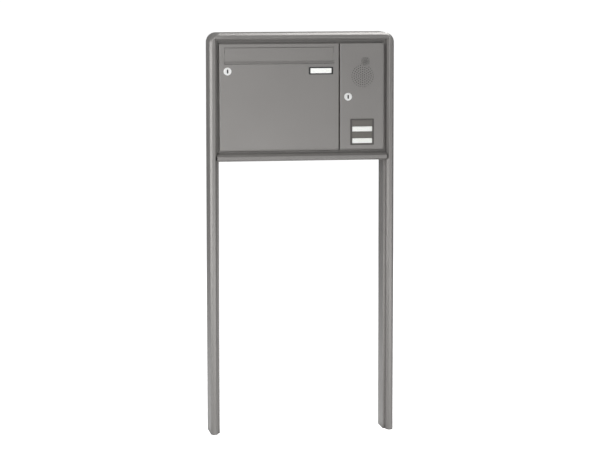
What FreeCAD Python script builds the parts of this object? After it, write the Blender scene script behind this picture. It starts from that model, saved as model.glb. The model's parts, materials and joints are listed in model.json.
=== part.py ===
import FreeCAD, Part
import math
import os

from FreeCAD import Vector

# Free-standing post frame that holds one letterbox and one intercom compartment, side by side.
# Millimetres. X runs left to right, Y front to back, Z up. The origin is on the ground, midway
# between the posts and midway through their depth. Depths are counted from the front of the noses.

# ---- Driving dimensions: frame ----
frame_height = 1230.0         # ground to the top of the top rail
frame_depth = 105.0           # front of the noses to the back of the posts
profile_width = 28.8          # post and rail profile, seen from the front
profile_wall = 2.0
nose_width = 21.5             # raised front of the profile
nose_depth = 24.0             # from the front of the nose back to the lip
bevel_width = 6.4             # bevel on each side of the nose, seen from the front
bevel_depth = 9.5
edge_radius = 1.6             # soft edges of the nose
back_radius = 1.0             # rear edges of the profile
corner_radius = 30.0          # outer radius of the top corners
corner_straight = 5.2         # a corner cap's length beyond the profile's width
fit_gap = 0.2                 # assembly gap between frame members and modules
corner_leg_inset = 14.0       # outer side of the frame to the joining legs
corner_leg_margin = 15.0      # lip or back of the profile to the joining legs
corner_leg_length = 50.0      # beyond the corner cap
shoe_length = 40.0            # joining shoe inside each end of the bottom rail
shoe_wall = 3.0
shoe_screw_radius = 2.5
shoe_screw_head_radius = 4.2
shoe_screw_head = 2.2

# ---- Driving dimensions: modules and doors ----
mailbox_width = 370.0
intercom_width = 139.0
module_height = 331.8
module_front = 26.0           # depth of the housings' front flange
back_panel_in = 2.0           # back of the posts to the back panel's outer face
back_sheet = 1.5
housing_sheet = 1.2
flange_width = 14.0           # inward front flange of a housing
door_front = 12.0             # depth of the door faces
door_back = 24.0
door_sheet = 1.5
door_edge_radius = 1.2
door_margin = 1.5             # housing side to door edge
hinge_relief = 1.0            # more margin beside the hinge of the mailbox door
door_top_gap = 4.0            # rail to door
door_bottom_gap = 2.0
drip_height = 6.0             # slanted lower edge of each door
drip_depth = 3.0

# ---- Driving dimensions: hinges and buffers ----
hinge_in = 5.0                # hinge axis, from the door's right edge
hinge_back = 6.0              # hinge axis, behind the door's face
hinge_pin_radius = 2.0
running_gap = 0.05            # radial clearance of pins and plugs
hinge_arm = 3.0               # thickness of a bracket arm
hinge_arm_radius = 3.2
hinge_foot_height = 12.0
hinge_foot_width = 6.5        # foot's outer side to the hinge axis
hinge_foot_sheet = 1.4
hinge_notch_gap = 1.0
buffer_radius = 4.0
buffer_gap = 0.3
buffer_in = 40.0              # door's upper or lower edge to a buffer

# ---- Driving dimensions: mail flap and slot ----
flap_side = 14.8              # door edge to the flap opening
flap_gap = 0.8                # flap end to the opening's side
flap_top = 12.0               # door top to the flap's upper edge
flap_top_gap = 1.2
flap_flat = 39.4              # flat height of the flap
flap_height = 48.0            # upper edge to the tip of the grip lip
flap_lip_out = 3.1            # grip lip in front of the door face
flap_sheet = 1.5
flap_axis_down = 5.0          # flap's upper edge to its axis
flap_axis_back = 4.4          # flap's face to its axis
flap_pin_radius = 1.25
flap_hem_radius = 3.0
flap_spring_length = 14.0
flap_spring_radius = 2.5
flap_spring_bore = 1.6
flap_spring_in = 1.0          # gap at each end of a spring
flap_bearing_in = 4.0         # door edge to a bearing's outer end
flap_bearing_lap = 1.0        # bearing to the side of the flap opening
flap_bearing_back = 20.0      # depth of a bearing's back
flap_bearing_half = 5.0       # half its height
flap_pin_in = 4.5             # door edge to the pin's end
flap_crease = 0.9             # depth of the crease above the grip lip
flap_crease_height = 1.6
flap_tip = 0.8
flap_tip_width = 1.3
hinge_arm_relief = 0.8        # arm's right side, in from the knuckle's radius
slot_side = 33.0              # door edge to the clear slot
slot_top = 23.5               # door top to the clear slot
slot_height = 33.0
slot_wall = 1.5
slot_back = 26.0              # depth where the slot sleeve ends
slot_ear_drop = 6.0           # top of the slot to the top of its ears
slot_screw_in = 9.5           # door edge to the slot frame's screws
deflector_sheet = 1.4
deflector_lap = 8.0           # how far it runs under the sleeve
deflector_side = 42.0
deflector_drop = 30.0
deflector_run = 18.0

# ---- Driving dimensions: locks ----
lock_flange_radius = 12.0
lock_flange = 1.6
lock_barrel_radius = 9.0
lock_plug_radius = 6.5
lock_slot_width = 2.4
lock_slot_height = 10.4
lock_slot_depth = 8.0
lock_nut_radius = 13.0
lock_nut = 3.5
cam_front = 27.6              # depth of the cam's front face
cam_sheet = 2.0
cam_width = 10.0
cam_reach = 20.5
cam_back = 6.0                # axis to the cam's short end
cam_end_radius = 3.0
cam_corner_radius = 2.0
tail_side = 5.0               # square tail of the plug
plug_proud = 0.2              # plug's face in front of the lock's flange
lock_edge_radius = 0.6
mailbox_lock_in = 24.5        # door's left edge to the lock's axis
mailbox_lock_down = 82.6      # door's top edge to the lock's axis
intercom_lock_in = 25.0
intercom_lock_down = 163.0

# ---- Driving dimensions: nameplate ----
name_width = 74.0
name_height = 22.0
name_right = 18.0             # nameplate to the door's right edge
name_down = 82.6
name_proud = 1.8
name_corner_radius = 1.2
window_in = 0.3               # frame's face to the window's face
name_card_width = 65.0
name_card_height = 15.5
card_sheet = 0.4
window_sheet = 0.8
card_fit = 0.1
peg_radius = 1.5

# ---- Driving dimensions: intercom door fittings ----
voice_in = 70.0               # door's left edge to the speaker's axis
voice_down = 100.0
voice_rings = 5
voice_ring_step = 6.6
voice_hole_radius = 1.0
mic_in = 78.7
mic_down = 55.8
mic_field_radius = 13.5
mic_pitch = 3.6
mic_hole_radius = 0.9
mic_radius = 6.0
mic_depth = 7.0
mic_relief = 2.0              # round the microphone, in the speaker's bracket
speaker_radius = 32.0
speaker_rim = 4.0
speaker_depth = 26.0
speaker_magnet_radius = 16.0
speaker_magnet = 9.0
speaker_wall = 2.0
speaker_bracket_margin = 3.0
cone_sheet = 1.0
bell_in = 68.5                # door's left edge to the bell module's middle
bell_down = 271.0
bell_width = 73.0
bell_proud = 1.5
bell_plate_back = 15.0        # depth of the back of the module's face plate
bell_card_floor = 0.4         # card's back, behind the door's face
bell_corner_radius = 2.0
bell_hole_margin = 1.5        # module face to its cut-out, each side
bell_bar_gap = 0.3            # round each push bar
bell_bar_proud = 0.7          # push bar in front of the module's face
bell_bar_edge = 0.6
bell_bar_flange = 1.2         # thickness of a bar's retaining flange
bell_bar_flange_out = 1.0     # how far it reaches past the bar
bell_switch_side = 6.0
bell_board_front = 21.0       # depth of the front of the module's board
bell_border = 4.0             # module's upper edge to the upper bar
bell_border_low = 5.4         # lower card to the module's lower edge
bell_bar_height = 18.0
bell_card_height = 15.5
bell_field_width = 62.0
bell_rib = 1.2                # between a bar and a card
bell_travel = 1.5
bell_tray_back = 34.0
plastic_wall = 2.0

# ---- Derived places ----
corner_reach = profile_width + corner_straight
module_back = frame_depth - back_panel_in - back_sheet
opening_width = mailbox_width + intercom_width + 3 * fit_gap
opening_height = module_height + fit_gap
frame_width = opening_width + 2 * profile_width
left_side = -frame_width / 2
right_side = frame_width / 2
opening_left = left_side + profile_width
opening_top = frame_height - profile_width
opening_bottom = opening_top - opening_height
rail_bottom = opening_bottom - profile_width
mailbox_left = opening_left + fit_gap
mailbox_right = mailbox_left + mailbox_width
intercom_left = mailbox_right + fit_gap
intercom_right = intercom_left + intercom_width
door_top = opening_top - door_top_gap
door_bottom = opening_bottom + door_bottom_gap
mailbox_door_left = mailbox_left + door_margin
mailbox_door_right = mailbox_right - door_margin - hinge_relief
intercom_door_left = intercom_left + door_margin
intercom_door_right = intercom_right - door_margin
door_inner = door_front + door_sheet
hinge_depth = door_front + hinge_back
far = 1.0                     # how far cutters run past what they cut
tiny = 0.01                   # tolerance for finding edges


# ---- Helpers ----
def at(x, depth, z):
    """A point from its X, its depth behind the front of the noses, and its height."""
    return Vector(x, depth - frame_depth / 2, z)


def box(x0, x1, d0, d1, z0, z1):
    """Block between two X values, two depths and two heights."""
    return Part.makeBox(x1 - x0, d1 - d0, z1 - z0, at(x0, d0, z0))


def rod_x(x0, x1, depth, z, radius):
    return Part.makeCylinder(radius, x1 - x0, at(x0, depth, z), Vector(1, 0, 0))


def rod_y(x, z, d0, d1, radius):
    return Part.makeCylinder(radius, d1 - d0, at(x, d0, z), Vector(0, 1, 0))


def rod_z(x, depth, z0, z1, radius):
    return Part.makeCylinder(radius, z1 - z0, at(x, depth, z0), Vector(0, 0, 1))


def outline(corners, place):
    """Face inside (u, v, radius) corners joined by straight edges, with a tangent arc at each radius."""
    edges = []
    ends = []
    for index, (u, v, radius) in enumerate(corners):
        here = Vector(u, v, 0)
        before = Vector(*corners[index - 1][:2], 0) - here
        after = Vector(*corners[(index + 1) % len(corners)][:2], 0) - here
        before.normalize()
        after.normalize()
        if radius == 0:
            ends.append((here, here))
            continue
        half = before.getAngle(after) / 2
        middle = before + after
        middle.normalize()
        centre = here + middle * (radius / math.sin(half))
        start = here + before * (radius / math.tan(half))
        finish = here + after * (radius / math.tan(half))
        top = centre - middle * radius
        ends.append((start, finish))
        edges.append(Part.Arc(place(start), place(top), place(finish)).toShape())
    for index, (_, finish) in enumerate(ends):
        start = ends[(index + 1) % len(ends)][0]
        edges.append(Part.LineSegment(place(finish), place(start)).toShape())
    return Part.Face(Part.Wire(Part.__sortEdges__(edges)))


def prism_x(points, x0, x1):
    """Straight bar along X whose section has (depth, height) corners."""
    corners = [(depth, z, 0) for depth, z in points]
    return outline(corners, lambda p: at(x0, p.x, p.y)).extrude(Vector(x1 - x0, 0, 0))


def save(node, *solids):
    """Writes one node: a single solid, or a group of separate solids."""
    shape = solids[0] if len(solids) == 1 else Part.makeCompound(list(solids))
    shape = shape.removeSplitter()
    if not shape.isValid() or len(shape.Solids) != len(solids):
        raise ValueError(node + " is not made of the solids it should be")
    shape.exportStep("parts/" + node + ".step")
    print(node, len(shape.Solids), round(shape.Volume / 1000, 2), "cm3")


# ---- Frame profile ----
def profile_corners(wall):
    """Corners of the profile as (inset, depth, radius), moved inwards by wall."""
    slope = math.hypot(bevel_width, bevel_depth)
    shift = wall * (slope - bevel_width) / bevel_depth
    rise = wall * (slope - bevel_depth) / bevel_width
    edge = edge_radius if wall == 0 else 0
    rear = back_radius if wall == 0 else 0
    nose_in = nose_width - bevel_width
    return [
        (wall, bevel_depth + rise, edge),
        (bevel_width + shift, wall, edge),
        (nose_in - shift, wall, edge),
        (nose_width - wall, bevel_depth + rise, edge),
        (nose_width - wall, nose_depth + wall, 0),
        (profile_width - wall, nose_depth + wall, 0),
        (profile_width - wall, frame_depth - wall, rear),
        (wall, frame_depth - wall, rear),
    ]


def hollow_profile(place, run):
    """Hollow extrusion of the profile; place sets its inset and depth, run its length and direction."""
    outside = outline(profile_corners(0), place).extrude(run)
    inside = outline(profile_corners(profile_wall), place).extrude(run)
    return outside.cut(inside)


def post_place(side):
    """Places the profile at the foot of the left post (-1) or of the right post (1)."""
    return lambda p: at(side * (frame_width / 2 - p.x), p.y, 0)


def make_post(side):
    return hollow_profile(post_place(side), Vector(0, 0, frame_height - corner_reach))


def make_top_rail():
    start = left_side + corner_reach
    run = Vector(frame_width - 2 * corner_reach, 0, 0)
    return hollow_profile(lambda p: at(start, p.y, frame_height - p.x), run)


def make_bottom_rail():
    """Sits between the noses of the posts and laps over their lips, with its nose below."""
    start = left_side + nose_width + fit_gap
    run = Vector(-2 * start, 0, 0)
    rail = hollow_profile(lambda p: at(start, p.y, rail_bottom + p.x), run)
    for side in (-1, 1):
        inner = opening_width / 2 - fit_gap
        notch = box(inner, -start + far, nose_depth - fit_gap, frame_depth + far,
                    rail_bottom - far, opening_bottom + far)
        if side < 0:
            notch = notch.mirror(Vector(0, 0, 0), Vector(1, 0, 0))
        rail = rail.cut(notch)
    return rail


def bracket_legs(side, gap):
    """Two square legs that join a post to the top rail inside the corner cap, grown by gap."""
    inner = profile_width - profile_wall - fit_gap + gap
    outer = corner_leg_inset - gap
    near = nose_depth + corner_leg_margin - gap
    back = frame_depth - corner_leg_margin + gap
    tip = corner_reach + corner_leg_length + gap
    upright = box(outer, inner, near, back, frame_height - tip, frame_height - outer)
    level = box(outer, tip, near, back, frame_height - inner, frame_height - outer)
    legs = upright.fuse(level).removeSplitter()
    legs.translate(Vector(left_side, 0, 0))
    if side > 0:
        legs = legs.mirror(Vector(0, 0, 0), Vector(1, 0, 0))
    return legs


def outer_section(width):
    """The profile's outer side and outer bevel, filled in to width."""
    return [
        (0, bevel_depth, edge_radius),
        (bevel_width, 0, edge_radius),
        (width, 0, 0),
        (width, frame_depth, 0),
        (0, frame_depth, back_radius),
    ]


def make_corner_cap():
    """Left cap: the profile turned round the corner, with a square inner corner."""
    hub = left_side + corner_radius
    base = frame_height - corner_radius
    bend = outline(outer_section(corner_radius), lambda p: at(left_side + p.x, p.y, base))
    bend = bend.revolve(at(hub, 0, base), Vector(0, 1, 0), 90)
    upright = outline(outer_section(corner_reach), lambda p: at(left_side + p.x, p.y, base))
    upright = upright.extrude(Vector(0, 0, corner_radius - corner_reach))
    level = outline(outer_section(corner_reach), lambda p: at(hub, p.y, frame_height - p.x))
    level = level.extrude(Vector(corner_reach - corner_radius, 0, 0))
    cap = bend.fuse([upright, level]).removeSplitter()
    reach = corner_reach + far
    nose_middle = nose_width / 2
    beyond = [
        (nose_middle, -far, 0),
        (reach, -far, 0),
        (reach, frame_depth + far, 0),
        (nose_middle, frame_depth + far, 0),
    ]
    sideways = lambda p: at(left_side + p.x, p.y, frame_height - reach)
    upwards = lambda p: at(left_side, p.y, frame_height - p.x)
    beside = outline(beyond, sideways).cut(outline(profile_corners(0), sideways))
    below = outline(beyond, upwards).cut(outline(profile_corners(0), upwards))
    pocket = beside.extrude(Vector(0, 0, reach)).common(below.extrude(Vector(reach, 0, 0)))
    return cap.cut(pocket).cut(bracket_legs(-1, fit_gap))


def make_rail_shoe(side):
    """Channel screwed to a post's inner side; the bottom rail slides over it."""
    low = rail_bottom + profile_wall + fit_gap
    high = opening_bottom - profile_wall - fit_gap
    front = nose_depth + profile_wall + fit_gap
    back = frame_depth - profile_wall - fit_gap
    outer = opening_width / 2
    block = box(outer - shoe_length, outer, front, back, low, high)
    hollow = box(outer - shoe_length - far, outer - shoe_wall, front + shoe_wall, back - shoe_wall,
                 low + shoe_wall, high - shoe_wall)
    shoe = block.cut(hollow)
    for depth in shoe_screw_depths(front, back):
        shoe = shoe.cut(rod_x(outer - shoe_wall - far, outer + far, depth, (low + high) / 2,
                              shoe_screw_radius + fit_gap))
    if side < 0:
        shoe = shoe.mirror(Vector(0, 0, 0), Vector(1, 0, 0))
    return shoe


def shoe_screw_depths(front, back):
    return (front + (back - front) / 4, back - (back - front) / 4)


def make_screw(tip, axis, radius, length, head_radius, head):
    """Pan-head screw: its head's seat is at tip and its shank runs length along axis."""
    shank = Part.makeCylinder(radius, length, tip, axis)
    cap = Part.makeCylinder(head_radius, head, tip - axis * head, axis)
    rim = [edge for edge in cap.Edges if edge.BoundBox.Center.distanceToPoint(tip) > head * 0.9]
    cap = cap.makeFillet(head * 0.45, [edge for edge in rim if edge.Closed])
    return shank.fuse(cap).removeSplitter()


# ---- Driving dimensions: screws, grommet and electronics ----
screw_radius = 2.0
screw_head_radius = 3.6
screw_head = 1.8
screw_clearance = 0.15
side_screw_in = 16.0          # housing front or back to the side screws
side_screw_low = 80.0         # bottom rail to the lower side screws
side_screw_high = 90.0        # top rail to the upper side screws
screw_bite = 1.5              # how far a screw's tip passes what it holds
back_screw_in = 12.0          # module edges to the back panel's screws
grommet_radius = 8.0
grommet_bore = 4.0
grommet_flange = 11.0
grommet_sheet = 1.5
grommet_in = 20.0             # back of the posts to the grommet's axis
grommet_up = 30.0             # above the bottom of the intercom housing
board_sheet = 1.6
board_width = 90.0
board_height = 120.0
board_up = 90.0               # above the bottom of the intercom housing
board_standoff = 6.0
terminal_length = 60.0
terminal_height = 12.0
terminal_depth = 10.0
terminal_in = 3.0             # board's lower edge to the terminal block
terminal_ways = 6
terminal_hole_radius = 2.5
terminal_hole = 3.0
standoff_radius = 3.0
standoff_in = 6.0             # board edge to its pillars


def make_housing(left, right):
    """Sheets of an open-fronted box: sides, floor, roof, back and a narrow flange round its front."""
    bottom = opening_bottom
    top = bottom + module_height
    inner_left = left + housing_sheet
    inner_right = right - housing_sheet
    floor = bottom + housing_sheet
    roof = top - housing_sheet
    flange_back = module_front + housing_sheet
    flange_left = left + flange_width
    flange_right = right - flange_width
    return [box(left, inner_left, module_front, module_back, bottom, top),
            box(inner_right, right, module_front, module_back, bottom, top),
            box(inner_left, inner_right, module_front, module_back, bottom, floor),
            box(inner_left, inner_right, module_front, module_back, roof, top),
            box(inner_left, inner_right, module_back - housing_sheet, module_back, floor, roof),
            box(inner_left, flange_left, module_front, flange_back, floor, roof),
            box(flange_right, inner_right, module_front, flange_back, floor, roof),
            box(flange_left, flange_right, module_front, flange_back, floor, bottom + flange_width),
            box(flange_left, flange_right, module_front, flange_back, top - flange_width, roof)]


def side_screw_places():
    """Depth and height of each screw that holds a housing to its post."""
    places = []
    for depth in (module_front + side_screw_in, module_back - side_screw_in):
        for z in (opening_bottom + side_screw_low, opening_top - side_screw_high):
            places.append((depth, z))
    return places


def back_screw_places():
    """X and height of each screw through the back panel."""
    places = []
    for x in (mailbox_left + back_screw_in, mailbox_right - back_screw_in,
              intercom_left + back_screw_in, intercom_right - back_screw_in):
        for z in (opening_bottom + back_screw_in, opening_top - back_screw_in):
            places.append((x, z))
    return places


def make_side_screws():
    screws = []
    for side in (-1, 1):
        seat = side * (opening_width / 2 - fit_gap - housing_sheet)
        for depth, z in side_screw_places():
            length = housing_sheet + fit_gap + profile_wall + screw_bite
            screws.append(make_screw(at(seat, depth, z), Vector(side, 0, 0), screw_radius, length,
                                     screw_head_radius, screw_head))
    return screws


def make_back_screws():
    seat = module_back + back_sheet
    length = back_sheet + housing_sheet + screw_bite
    return [make_screw(at(x, seat, z), Vector(0, -1, 0), screw_radius, length,
                       screw_head_radius, screw_head) for x, z in back_screw_places()]


def make_back_panel():
    panel = box(opening_left + fit_gap, opening_left + opening_width - fit_gap, module_back,
                module_back + back_sheet, opening_bottom + fit_gap, opening_top - fit_gap)
    for x, z in back_screw_places():
        panel = panel.cut(rod_y(x, z, module_back - far, module_back + back_sheet + far,
                                screw_radius + screw_clearance))
    return panel


def drill_sides(shape, side):
    """Drills the holes for the side screws through a housing wall or a post wall."""
    start = side * (opening_width / 2 - fit_gap - 2 * housing_sheet)
    end = side * (opening_width / 2 + 2 * profile_wall)
    for depth, z in side_screw_places():
        shape = shape.cut(rod_x(min(start, end), max(start, end), depth, z,
                                screw_radius + screw_clearance))
    return shape


def drill_back(shape):
    for x, z in back_screw_places():
        shape = shape.cut(rod_y(x, z, module_back - housing_sheet - far, module_back + far,
                                screw_radius + screw_clearance))
    return shape


# ---- Hinges ----
def hinge_levels():
    """Lower and upper height of each bracket arm, lowest arm first, and the way to its door rim."""
    low = door_bottom + drip_height + hinge_notch_gap
    high = door_top - door_sheet - buffer_gap
    return [(low, low + hinge_arm, -1), (high - hinge_arm, high, 1)]


def make_hinge_brackets(door_right):
    """Foot on the housing flange with an arm that reaches forward round the pin."""
    x = door_right - hinge_in
    arm_right = x + hinge_arm_radius - hinge_arm_relief
    brackets = []
    for low, high, way in hinge_levels():
        knuckle = rod_z(x, hinge_depth, low, high, hinge_arm_radius)
        arm = box(x - hinge_arm_radius, arm_right, hinge_depth, module_front, low, high)
        foot_low = low if way < 0 else high - hinge_foot_height
        foot = box(x - hinge_foot_width, arm_right, module_front - hinge_foot_sheet, module_front,
                   foot_low, foot_low + hinge_foot_height)
        bore = rod_z(x, hinge_depth, low - far, high + far, hinge_pin_radius)
        brackets.append(knuckle.fuse([arm, foot]).cut(bore).removeSplitter())
    return brackets


def make_hinge_pins(door_right):
    """Each pin stands in its bracket arm and runs through the rim of the door."""
    x = door_right - hinge_in
    pins = []
    for low, high, way in hinge_levels():
        start = door_bottom if way < 0 else low
        end = high if way < 0 else door_top
        pins.append(rod_z(x, hinge_depth, start, end, hinge_pin_radius))
    return pins


def cut_hinges(door, door_right):
    """Holes for the pins in the upper and lower rims, and notches in the side rim for the brackets."""
    x = door_right - hinge_in
    door = door.cut(rod_z(x, hinge_depth, door_bottom - far, door_top + far,
                          hinge_pin_radius + running_gap))
    for low, high, way in hinge_levels():
        foot_low = low if way < 0 else high - hinge_foot_height
        door = door.cut(box(door_right - door_sheet - far, door_right + far, door_inner + far,
                            door_back + far, foot_low - hinge_notch_gap,
                            foot_low + hinge_foot_height + hinge_notch_gap))
    return door


def make_buffers(door_left):
    """Rubber stops on the housing flange, behind the free edge of a door."""
    x = door_left + buffer_radius
    return [rod_y(x, z, door_back + buffer_gap, module_front, buffer_radius)
            for z in (door_bottom + buffer_in, door_top - buffer_in)]


# ---- Doors ----
def make_door_shell(left, right):
    """Sheet door with returned rims and a slanted drip edge along the bottom."""
    outer = prism_x([(door_front, door_top), (door_front, door_bottom + drip_height),
                     (door_front + drip_depth, door_bottom), (door_back, door_bottom),
                     (door_back, door_top)], left, right)
    front = [edge for edge in outer.Edges
             if edge.BoundBox.YMax < at(0, door_front, 0).y + tiny]
    outer = outer.makeFillet(door_edge_radius, front)
    slant = drip_depth * (drip_height - door_sheet) / drip_height
    inner = prism_x([(door_inner, door_top - door_sheet), (door_inner, door_bottom + drip_height),
                     (door_inner + slant, door_bottom + door_sheet),
                     (door_back + far, door_bottom + door_sheet),
                     (door_back + far, door_top - door_sheet)], left + door_sheet, right - door_sheet)
    return outer.cut(inner)


def lock_hole(x, z):
    return rod_y(x, z, door_front - far, door_inner + far, lock_barrel_radius + running_gap)


def make_lock_body(x, z):
    """Flange in front of the door and a barrel through it, bored for the plug."""
    flange = rod_y(x, z, door_front - lock_flange, door_front, lock_flange_radius)
    front = [edge for edge in flange.Edges
             if edge.BoundBox.YMax < at(0, door_front - lock_flange, 0).y + tiny]
    flange = flange.makeFillet(lock_edge_radius, front)
    barrel = rod_y(x, z, door_front, cam_front - buffer_gap, lock_barrel_radius)
    bore = rod_y(x, z, door_front - lock_flange - far, cam_front + far, lock_plug_radius + running_gap)
    return flange.fuse(barrel).cut(bore).removeSplitter()


def make_lock_nut(x, z):
    """Six-sided nut on the barrel, tight against the back of the door."""
    corners = []
    for step in range(6):
        turn = math.radians(60 * step)
        corners.append((x + lock_nut_radius * math.cos(turn), z + lock_nut_radius * math.sin(turn), 0))
    nut = outline(corners, lambda p: at(p.x, door_inner, p.y)).extrude(Vector(0, lock_nut, 0))
    return nut.cut(rod_y(x, z, door_inner - far, door_inner + lock_nut + far,
                         lock_barrel_radius + running_gap))


def make_lock_plug(x, z):
    """Plug with an upright key slot, and a square tail for the cam."""
    face = door_front - lock_flange - plug_proud
    plug = rod_y(x, z, face, cam_front, lock_plug_radius)
    slot = box(x - lock_slot_width / 2, x + lock_slot_width / 2, face - far, face + lock_slot_depth,
               z - lock_slot_height / 2, z + lock_slot_height / 2)
    half = tail_side / 2
    tail = box(x - half, x + half, cam_front, cam_front + cam_sheet, z - half, z + half)
    return plug.cut(slot).fuse(tail).removeSplitter()


def make_lock_cam(x, z):
    """Flat cam that hangs straight down while the lock is open."""
    half = cam_width / 2
    corners = [
        (x - half, z + cam_back, cam_corner_radius),
        (x + half, z + cam_back, cam_corner_radius),
        (x + half, z - cam_reach, cam_end_radius),
        (x - half, z - cam_reach, cam_end_radius),
    ]
    cam = outline(corners, lambda p: at(p.x, cam_front, p.y)).extrude(Vector(0, cam_sheet, 0))
    hole = tail_side / 2 + running_gap
    return cam.cut(box(x - hole, x + hole, cam_front - far, cam_front + cam_sheet + far,
                       z - hole, z + hole))


def make_cam_screw(x, z):
    return rod_y(x, z, cam_front + cam_sheet, cam_front + cam_sheet + screw_head, screw_head_radius)


# ---- Mailbox door and its flap ----
flap_left = mailbox_door_left + flap_side + flap_gap
flap_right = mailbox_door_right - flap_side - flap_gap
flap_axis_z = door_top - flap_top - flap_axis_down
flap_axis_depth = door_front + flap_axis_back
mailbox_lock = (mailbox_door_left + mailbox_lock_in, door_top - mailbox_lock_down)
name_x = mailbox_door_right - name_right - name_width / 2
name_z = door_top - name_down
hem_start = flap_left + flap_spring_length + 2 * flap_spring_in


def make_mailbox_door():
    door = make_door_shell(mailbox_door_left, mailbox_door_right)
    door = cut_hinges(door, mailbox_door_right)
    door = door.cut(box(mailbox_door_left + flap_side, mailbox_door_right - flap_side,
                        door_front - far, door_inner + far,
                        door_top - flap_top - flap_height - flap_top_gap,
                        door_top - flap_top + flap_top_gap))
    door = door.cut(lock_hole(*mailbox_lock))
    for x in name_pegs():
        door = door.cut(rod_y(x, name_z, door_front - far, door_inner + far, peg_radius + card_fit))
    return door


def name_pegs():
    return (name_x - name_width / 4, name_x + name_width / 4)


def make_flap():
    """Pressed flap: flat face, shallow crease, grip lip, and a hem round the pin behind its top."""
    top = door_top - flap_top
    crease = top - flap_flat
    tip = top - flap_height
    lip = door_front - flap_lip_out
    back = door_front + flap_sheet
    groove = door_front + flap_crease
    section = [(door_front, top), (door_front, crease), (groove, crease - flap_crease_height / 2),
               (groove, crease - flap_crease_height), (lip, tip + flap_tip),
               (lip + flap_tip_width - flap_crease, tip), (lip + flap_tip_width, tip),
               (back, crease - 2 * flap_crease_height), (back, top)]
    sheet = prism_x(section, flap_left, flap_right)
    near = hem_start
    length = flap_left + flap_right - 2 * hem_start
    hem = rod_x(near, near + length, flap_axis_depth, flap_axis_z, flap_hem_radius)
    web = box(near, near + length, back, flap_axis_depth,
              flap_axis_z - flap_hem_radius, flap_axis_z + flap_hem_radius)
    bore = rod_x(near - far, near + length + far, flap_axis_depth, flap_axis_z,
                 flap_pin_radius + running_gap)
    return sheet.fuse([hem, web]).cut(bore).removeSplitter()


def make_flap_pin():
    return rod_x(mailbox_door_left + flap_pin_in, mailbox_door_right - flap_pin_in,
                 flap_axis_depth, flap_axis_z, flap_pin_radius)


def make_flap_bearings():
    blocks = []
    width = flap_side - flap_bearing_lap - flap_bearing_in
    for low in (mailbox_door_left + flap_bearing_in, mailbox_door_right - flap_bearing_in - width):
        high = low + width
        block = box(low, high, door_inner, flap_bearing_back,
                    flap_axis_z - flap_bearing_half, flap_axis_z + flap_bearing_half)
        blocks.append(block.cut(rod_x(low - far, high + far, flap_axis_depth, flap_axis_z,
                                      flap_pin_radius + running_gap)))
    return blocks


def make_flap_springs():
    """Envelope of the torsion spring round each end of the flap's pin."""
    springs = []
    for start in (flap_left + flap_spring_in, flap_right - flap_spring_in - flap_spring_length):
        coil = rod_x(start, start + flap_spring_length, flap_axis_depth, flap_axis_z, flap_spring_radius)
        springs.append(coil.cut(rod_x(start - far, start + flap_spring_length + far, flap_axis_depth,
                                      flap_axis_z, flap_spring_bore)))
    return springs


def make_slot_frame():
    """Sleeve behind the flap that the mail passes through, with an ear at each end."""
    left = mailbox_door_left + slot_side
    right = mailbox_door_right - slot_side
    high = door_top - slot_top
    low = high - slot_height
    start = door_inner + buffer_gap
    tube = box(left - slot_wall, right + slot_wall, start, slot_back, low - slot_wall, high + slot_wall)
    ear_spans = [(mailbox_door_left + flap_bearing_in, left), (right, mailbox_door_right - flap_bearing_in)]
    ear_top = high - slot_ear_drop
    ears = [box(first, last, start, start + slot_wall, low, ear_top) for first, last in ear_spans]
    sleeve = tube.fuse(ears)
    return sleeve.cut(box(left, right, start - far, slot_back + far, low, high)).removeSplitter()


def make_slot_screws():
    screws = []
    start = door_inner + buffer_gap + slot_wall
    z = door_top - slot_top - (slot_height + slot_ear_drop) / 2
    for x in (mailbox_door_left + slot_screw_in, mailbox_door_right - slot_screw_in):
        screws.append(rod_y(x, z, start, start + screw_head, screw_head_radius))
    return screws


def make_deflector():
    """Slanted guard behind the slot, hung from the lower edge of the sleeve."""
    high = door_top - slot_top - slot_height - slot_wall
    start = slot_back - deflector_lap
    section = [(start, high), (slot_back, high), (slot_back + deflector_run, high - deflector_drop),
               (slot_back + deflector_run - deflector_sheet, high - deflector_drop),
               (slot_back - deflector_sheet / 2, high - deflector_sheet),
               (start, high - deflector_sheet)]
    return prism_x(section, mailbox_door_left + deflector_side, mailbox_door_right - deflector_side)


def make_name_frame():
    face = door_front - name_proud
    frame = rounded_plate(name_x, name_z, name_width, name_height, name_corner_radius, face, door_front)
    frame = frame.cut(box(name_x - name_card_width / 2, name_x + name_card_width / 2, face - far,
                          door_front - card_sheet, name_z - name_card_height / 2,
                          name_z + name_card_height / 2))
    pegs = [rod_y(x, name_z, door_front - card_sheet, door_inner + far, peg_radius) for x in name_pegs()]
    return frame.fuse(pegs).removeSplitter()


def rounded_plate(x, z, width, height, radius, d0, d1):
    """Upright plate centred on (x, z), with rounded corners."""
    half_w = width / 2
    half_h = height / 2
    corners = [(x - half_w, z - half_h, radius), (x + half_w, z - half_h, radius),
               (x + half_w, z + half_h, radius), (x - half_w, z + half_h, radius)]
    return outline(corners, lambda p: at(p.x, d0, p.y)).extrude(Vector(0, d1 - d0, 0))


def card_and_window(x, z, width, height, floor, top):
    """A paper card on the floor of a recess, and the clear window over it up to top."""
    half_w = width / 2 - card_fit
    half_h = height / 2 - card_fit
    card = box(x - half_w, x + half_w, floor - card_sheet, floor, z - half_h, z + half_h)
    window = box(x - half_w, x + half_w, top, floor - card_sheet, z - half_h, z + half_h)
    return card, window


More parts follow.
